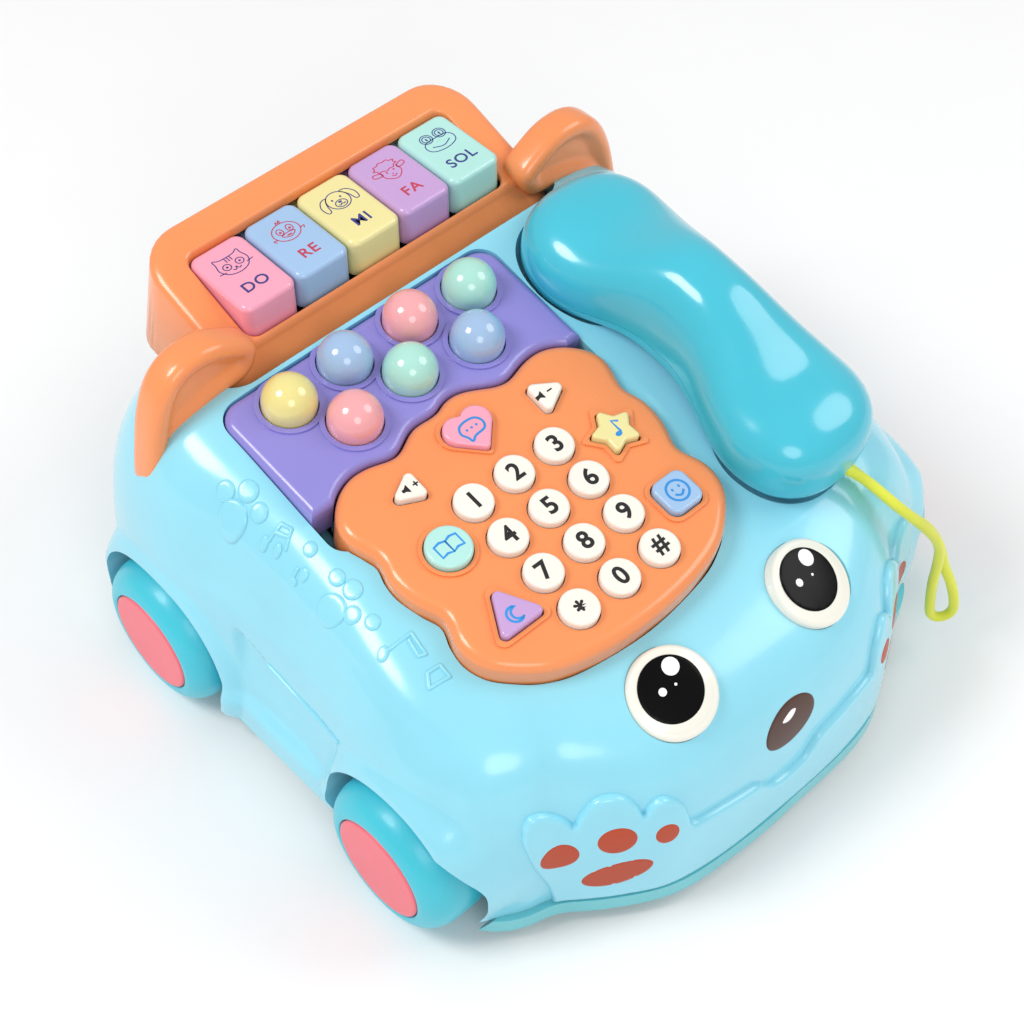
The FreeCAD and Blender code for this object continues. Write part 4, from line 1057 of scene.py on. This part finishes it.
def make_housing():
    outer = loft(housing_rings(0), cap_start=True, cap_end=True)
    inner = loft(housing_rings(-WALL), cap_start=True, cap_end=True)
    inner[0][:, 2] -= 0.6
    rod_blocks = [prism(rounded_rectangle(x0, x1, 93.5, 106.5, 0.5, 0.5), 105.4, 116.4)
                  for x0, x1 in ((-55.5, -50.5), (50.0, 55.0))]
    hollow = combine(combine(inner, "DIFFERENCE", *rod_blocks), "UNION", window_cutter())
    housing = combine(outer, "UNION", ear(-1), ear(1))
    housing = combine(housing, "DIFFERENCE", hollow, rod(1.3, (-55.5, 96.5, 109.4), (55, 96.5, 109.4)))
    add_mesh("piano_frame", *housing, ORANGE, "body", 40, ["piano_housing"])


make_housing()


# ---------------------------------------------------------------- tyres
TREAD_RADIUS, WHEEL_FACE, WHEEL_INNER, HUB_CAP_RADIUS = 23.99, 103.5, 79.5, 16.1


def tyre_profile():
    """(distance out from the middle of the car, radius) round the tyre's section."""
    rim = HUB_CAP_RADIUS + 0.15
    profile = [(WHEEL_FACE - 6, 2.0), (WHEEL_FACE - 6, rim), (WHEEL_FACE - 0.7, rim),
               (WHEEL_FACE - 0.2, rim + 0.3)]
    shoulder = [(WHEEL_FACE, rim + 0.9), (WHEEL_FACE - 0.3, 18.6), (WHEEL_FACE - 1.5, 20.6),
                (WHEEL_FACE - 3.6, 22.4), (WHEEL_FACE - 6.6, 23.6), (WHEEL_FACE - 9.6, TREAD_RADIUS)]
    inner = [(WHEEL_INNER + 7, TREAD_RADIUS), (WHEEL_INNER + 4, 23.4), (WHEEL_INNER + 1.6, 21.8),
             (WHEEL_INNER, 19.0)]
    profile += [tuple(p) for p in smooth_open(shoulder, 8)]
    profile += [tuple(p) for p in smooth_open(inner, 8)]
    return [(d, min(r, TREAD_RADIUS)) for d, r in profile + [(WHEEL_INNER, 2.0)]]


def make_tyres():
    for end, y in AXLE_Y.items():
        for word, side in (("left", -1), ("right", 1)):
            points, faces = lathe_ring(tyre_profile(), (0, y, WHEEL_Z), (side, 0, 0), 160)
            add_mesh("tyre_%s_%s" % (end, word), points, faces, TYRE, end + "_wheels", 30,
                     ["wheel_%s_%s" % (end, word)])


def lathe_ring(profile, origin, axis, turns):
    """Closed ring turned about an axis from a closed profile that stays off it."""
    first, second, along = frame_of(axis)
    angles = np.linspace(0, 2 * math.pi, turns, endpoint=False)
    wheel = np.cos(angles)[:, None] * first + np.sin(angles)[:, None] * second
    rings = [np.asarray(origin) + d * along + r * wheel for d, r in profile + profile[:1]]
    points, faces = loft(rings)
    count = (len(rings) - 1) * turns
    return points[:count], [tuple(i % count for i in face) for face in faces]


make_tyres()

# ---------------------------------------------------------------- printed figures
PRINT_RISE, PRINT_SINK = 0.04, 0.25
NUMBER_ROWS = ("123", "456", "789", "*0#")
NUMBER_PITCH = (15.0, 14.0)
SIGN_NAMES = {"*": "asterisk", "#": "hash"}
KEY_TOP, KEY_PITCH = 118.0, 19.3


def on_top(x, y, top):
    """Places round a point on a button's top, in the deck's own axes."""
    def place(points, heights):
        return on_deck(np.column_stack([points[:, 0] + x, points[:, 1] + y, top + heights]))
    return place


def on_key(x, y):
    def place(points, heights):
        return np.column_stack([points[:, 0] + x, points[:, 1] + y, KEY_TOP + heights])
    return place


def lettering(text, size, weight, place):
    """Letters of the plain built-in font, centred on their place."""
    curve = bpy.data.curves.new("lettering", "FONT")
    curve.body = text
    curve.size = size
    curve.offset = weight
    curve.extrude = 0.5
    curve.space_character = 1.12
    curve.resolution_u = 5
    piece = bpy.data.objects.new("lettering", curve)
    bpy.context.scene.collection.objects.link(piece)
    seen = piece.evaluated_get(bpy.context.evaluated_depsgraph_get())
    mesh = bpy.data.meshes.new_from_object(seen)
    points = np.array([tuple(v.co) for v in mesh.vertices])
    faces = [tuple(face.vertices) for face in mesh.polygons]
    bpy.data.objects.remove(piece)
    bpy.data.curves.remove(curve)
    bpy.data.meshes.remove(mesh)
    flat = points[:, :2] - (points[:, :2].min(0) + points[:, :2].max(0)) / 2
    return place(flat, np.where(points[:, 2] > 0, PRINT_RISE, -PRINT_SINK)), faces


def ribbon(path, half_width, place):
    """Thin printed line along a path; it closes when the path's ends meet."""
    path = np.array(path, float)
    closed = bool(np.allclose(path[0], path[-1]))
    path = path[:-1] if closed else path
    ahead, behind = np.roll(path, -1, 0) - path, path - np.roll(path, 1, 0)
    if not closed:
        ahead[-1], behind[0] = behind[-1], ahead[0]
    along = unit(unit(ahead) + unit(behind))
    side = np.stack([-along[:, 1], along[:, 0]], -1) * half_width
    corners = [(side, PRINT_RISE), (-side, PRINT_RISE), (-side, -PRINT_SINK), (side, -PRINT_SINK)]
    rings = np.stack([place(path + shift, np.full(len(path), h)) for shift, h in corners], 1)
    if not closed:
        return loft(list(rings), cap_start=True, cap_end=True)
    points, faces = loft(list(rings) + [rings[0]])
    count = len(points) - len(corners)
    return points[:count], [tuple(i % count for i in face) for face in faces]


def spot(x, y, a, b, place):
    return relief(ellipse(x, y, a, b, steps=16), place, PRINT_RISE, -PRINT_SINK, 0.15, 0.6)


def loop(x, y, a, b):
    ring = ellipse(x, y, a, b, steps=28)
    return np.concatenate([ring, ring[:1]])


def closed_line(points, per_span=5):
    ring = smooth_closed(points, per_span)
    return np.concatenate([ring, ring[:1]])


def mirrored_pair(path):
    path = np.array(path, float)
    return [path, path * (-1, 1)]


def cat_face():
    lines = [closed_line([(4.9, -0.6), (3.2, -3.2), (0, -4.1), (-3.2, -3.2), (-4.9, -0.6), (-4.4, 2.2),
                          (-4.2, 4.2), (-2.6, 3.4), (0, 3.2), (2.6, 3.4), (4.2, 4.2), (4.4, 2.2)])]
    for side in (-1, 1):
        lines += [loop(side * 2.2, -0.3, 1.25, 1.25), [(side * 3.6, -2.0), (side * 5.8, -1.7)],
                  smooth_open([(0, -1.9), (side * 0.7, -2.6), (side * 1.4, -2.1)], 4)]
    lines += [[(x, 3.0), (x, 1.3)] for x in (-0.9, 0, 0.9)]
    return lines, [(2.2, -0.3, 0.5, 0.5), (-2.2, -0.3, 0.5, 0.5), (0, -1.6, 0.5, 0.35)]


def duck_face():
    lines = [loop(0, 0, 4.4, 3.9),
             smooth_open([(-0.6, 3.9), (-0.2, 5.0), (0.3, 4.2), (0.9, 5.2), (0.9, 3.9)], 4)]
    for side in (-1, 1):
        lines += [loop(side * 1.7, 0.8, 1.0, 1.35),
                  smooth_open([(side * 4.1, -1.4), (side * 5.4, -1.2), (side * 4.9, -2.2)], 4)]
    lines.append(closed_line([(-2.3, -1.1), (0, -0.5), (2.3, -1.1), (0, -2.5)]))
    return lines, [(1.7, 0.6, 0.5, 0.6), (-1.7, 0.6, 0.5, 0.6), (0, -1.6, 1.1, 0.4)]


def dog_face():
    lines = [loop(0, 0, 3.7, 3.8), loop(0, -1.5, 1.9, 1.5)]
    for side in (-1, 1):
        lines += [closed_line([(side * 2.6, 3.0), (side * 4.6, 2.6), (side * 6.1, 0.2), (side * 5.8, -2.6),
                               (side * 4.6, -2.6), (side * 4.1, -0.2), (side * 3.4, 1.6)]),
                  smooth_open([(0, -1.5), (side * 0.6, -2.1), (side * 1.2, -1.7)], 4)]
    return lines, [(1.5, 1.0, 0.4, 0.55), (-1.5, 1.0, 0.4, 0.55), (0, -0.8, 0.75, 0.5)]


def sheep_face():
    wool = [(3.6 * math.cos(a) * k, 2.2 + 1.9 * math.sin(a) * k) for a, k in
            [(math.radians(20 * i), 1.16 if i % 2 else 0.92) for i in range(18)]]
    lines = [closed_line(wool, 3),
             smooth_open([(-3.0, 0.6), (-2.9, -2.4), (0, -4.4), (2.9, -2.4), (3.0, 0.6)], 6)]
    for side in (-1, 1):
        lines.append(closed_line([(side * 3.1, 0.3), (side * 5.4, 1.0), (side * 5.6, -0.4),
                                  (side * 3.1, -0.9)]))
    lines.append(smooth_open([(-0.9, -2.6), (0, -3.1), (0.9, -2.6)], 4))
    return lines, [(1.3, -0.6, 0.4, 0.5), (-1.3, -0.6, 0.4, 0.5), (0, -2.0, 0.45, 0.3)]


def frog_face():
    lines = [closed_line([(5.2, -0.8), (4.1, -3.2), (0, -4.2), (-4.1, -3.2), (-5.2, -0.8), (-3.8, 1.2),
                          (0, 1.5), (3.8, 1.2)]),
             smooth_open([(-3.3, -1.4), (0, -2.7), (3.3, -1.4)], 6)]
    for side in (-1, 1):
        lines += [loop(side * 2.5, 2.6, 2.0, 2.0), loop(side * 2.5, 2.6, 1.3, 1.3)]
    return lines, [(2.5, 2.5, 0.4, 0.8), (-2.5, 2.5, 0.4, 0.8), (0.5, -0.2, 0.2, 0.2), (-0.5, -0.2, 0.2, 0.2)]


KEY_PRINTS = [("do", "DO", cat_face, NAVY), ("re", "RE", duck_face, RED_INK), ("mi", "MI", dog_face, NAVY),
              ("fa", "FA", sheep_face, RED_INK), ("sol", "SOL", frog_face, NAVY)]


def make_key_prints():
    for i, (key, word, face, ink) in enumerate(KEY_PRINTS):
        middle = (i - 2) * KEY_PITCH - 0.25
        lines, spots = face()
        picture = [ribbon(line, 0.16, on_key(middle, 83.0)) for line in lines]
        picture += [spot(*place, on_key(middle, 83.0)) for place in spots]
        picture.append(lettering(word, 5.4, 0.08, on_key(middle, 72.6)))
        add_mesh("print_" + key, *merged(picture), ink, "key_" + key, 40)


def make_number_prints():
    for row, signs in enumerate(NUMBER_ROWS):
        for column, sign in enumerate(signs):
            place = on_top((column - 1) * NUMBER_PITCH[0], (1.5 - row) * NUMBER_PITCH[1], 0.0)
            name = SIGN_NAMES.get(sign, sign)
            add_mesh("print_" + name, *lettering(sign, 7.6, 0.2, place), INK, "number_" + name, 40)


def note_sign():
    return [[(0.9, -1.8), (0.9, 2.6), (2.7, 1.4)]], [(-0.1, -1.9, 1.2, 0.9)]


def bubble_sign():
    shape = closed_line([(3.9, 0.6), (2.8, 2.7), (0, 3.3), (-2.8, 2.7), (-3.9, 0.6), (-3.0, -1.4),
                         (-2.6, -3.0), (-0.8, -2.0), (2.8, -1.5)])
    return [shape], [(x, 0.7, 0.5, 0.5) for x in (-1.7, 0, 1.7)]


def book_sign():
    page = [(0, -2.2), (-1.8, -1.6), (-3.8, -2.0), (-3.8, 1.9), (-1.8, 2.3), (0, 1.7), (0, -2.2)]
    return mirrored_pair(page), []


def moon_sign():
    outer = [(2.4 * math.cos(a), 2.4 * math.sin(a)) for a in np.radians(np.arange(50, 311, 20))]
    inner = [(0.9 + 1.9 * math.cos(a), 1.9 * math.sin(a)) for a in np.radians(np.arange(285, 74, -22))]
    crescent = outer + inner
    return [crescent + crescent[:1]], []


def smile_sign():
    smile = smooth_open([(-1.6, -0.7), (0, -1.7), (1.6, -0.7)], 6)
    return [loop(0, 0, 3.3, 3.3), smile], [(1.2, 0.9, 0.45, 0.6), (-1.2, 0.9, 0.45, 0.6)]


SHAPE_PRINTS = [("heart_key", bubble_sign, 0.0, 38.2), ("star_key", note_sign, 31.2, 14.0),
                ("round_key", book_sign, -30.0, 14.2), ("triangle_key", moon_sign, -30.2, -12.2),
                ("square_key", smile_sign, 30.9, -11.5)]
SPEAKER_SIGN = [(-3.2, -0.6), (-2.2, -0.6), (-0.9, -1.6), (-0.9, 1.6), (-2.2, 0.6), (-3.2, 0.6)]


def make_shape_prints():
    for body, sign, x, y in SHAPE_PRINTS:
        lines, spots = sign()
        place = on_top(x, y, 0.3)
        parts = [ribbon(line, 0.36, place) for line in lines] + [spot(*each, place) for each in spots]
        add_mesh("print_" + body, *merged(parts), AZURE, body, 40)
    minus, upright = [(0.6, 0), (2.4, 0)], [(1.5, -0.9), (1.5, 0.9)]
    for body, x, y, strokes in (("volume_up_key", -25.6, 34.7, [minus, upright]),
                                ("volume_down_key", 24.4, 35.1, [minus])):
        place = on_top(x, y, 0.0)
        parts = [relief(dense(np.array(SPEAKER_SIGN), 0.3), place, PRINT_RISE, -PRINT_SINK, 0.1, 0.5)]
        parts += [ribbon(stroke, 0.24, place) for stroke in strokes]
        add_mesh("print_" + body, *merged(parts), INK, body, 40)


make_key_prints()
make_number_prints()
make_shape_prints()


# ---------------------------------------------------------------- floor and light
def make_floor():
    mesh = bpy.data.meshes.new("floor")
    mesh.from_pydata([(-4, -4, 0), (4, -4, 0), (4, 4, 0), (-4, 4, 0)], [], [(0, 1, 2, 3)])
    floor = bpy.data.objects.new("floor", mesh)
    bpy.context.scene.collection.objects.link(floor)
    mesh.materials.append(plastic("floor_white", "#F4F4F4", 0.8, coat=0, cloud=0.004, grain=0.0))


def soft_light(name, place, size, power):
    data = bpy.data.lights.new(name, "AREA")
    data.shape = "DISK"
    data.size = size
    data.energy = power
    light = bpy.data.objects.new(name, data)
    light.location = place
    light.rotation_euler = (Vector((0, 0, 0.05)) - Vector(place)).to_track_quat("-Z", "Y").to_euler()
    bpy.context.scene.collection.objects.link(light)


def make_world():
    world = bpy.data.worlds.new("studio")
    world.use_nodes = True
    background = world.node_tree.nodes["Background"]
    background.inputs["Color"].default_value = (1.0, 1.0, 1.0, 1.0)
    background.inputs["Strength"].default_value = 0.6
    bpy.context.scene.world = world


bpy.context.scene.view_settings.view_transform = "Standard"
make_floor()
make_world()
soft_light("key", (-0.7, 0.35, 1.1), 0.5, 7.2)
soft_light("fill", (0.8, -0.5, 0.9), 0.7, 4)
soft_light("front", (-0.5, -0.9, 0.8), 0.6, 3)
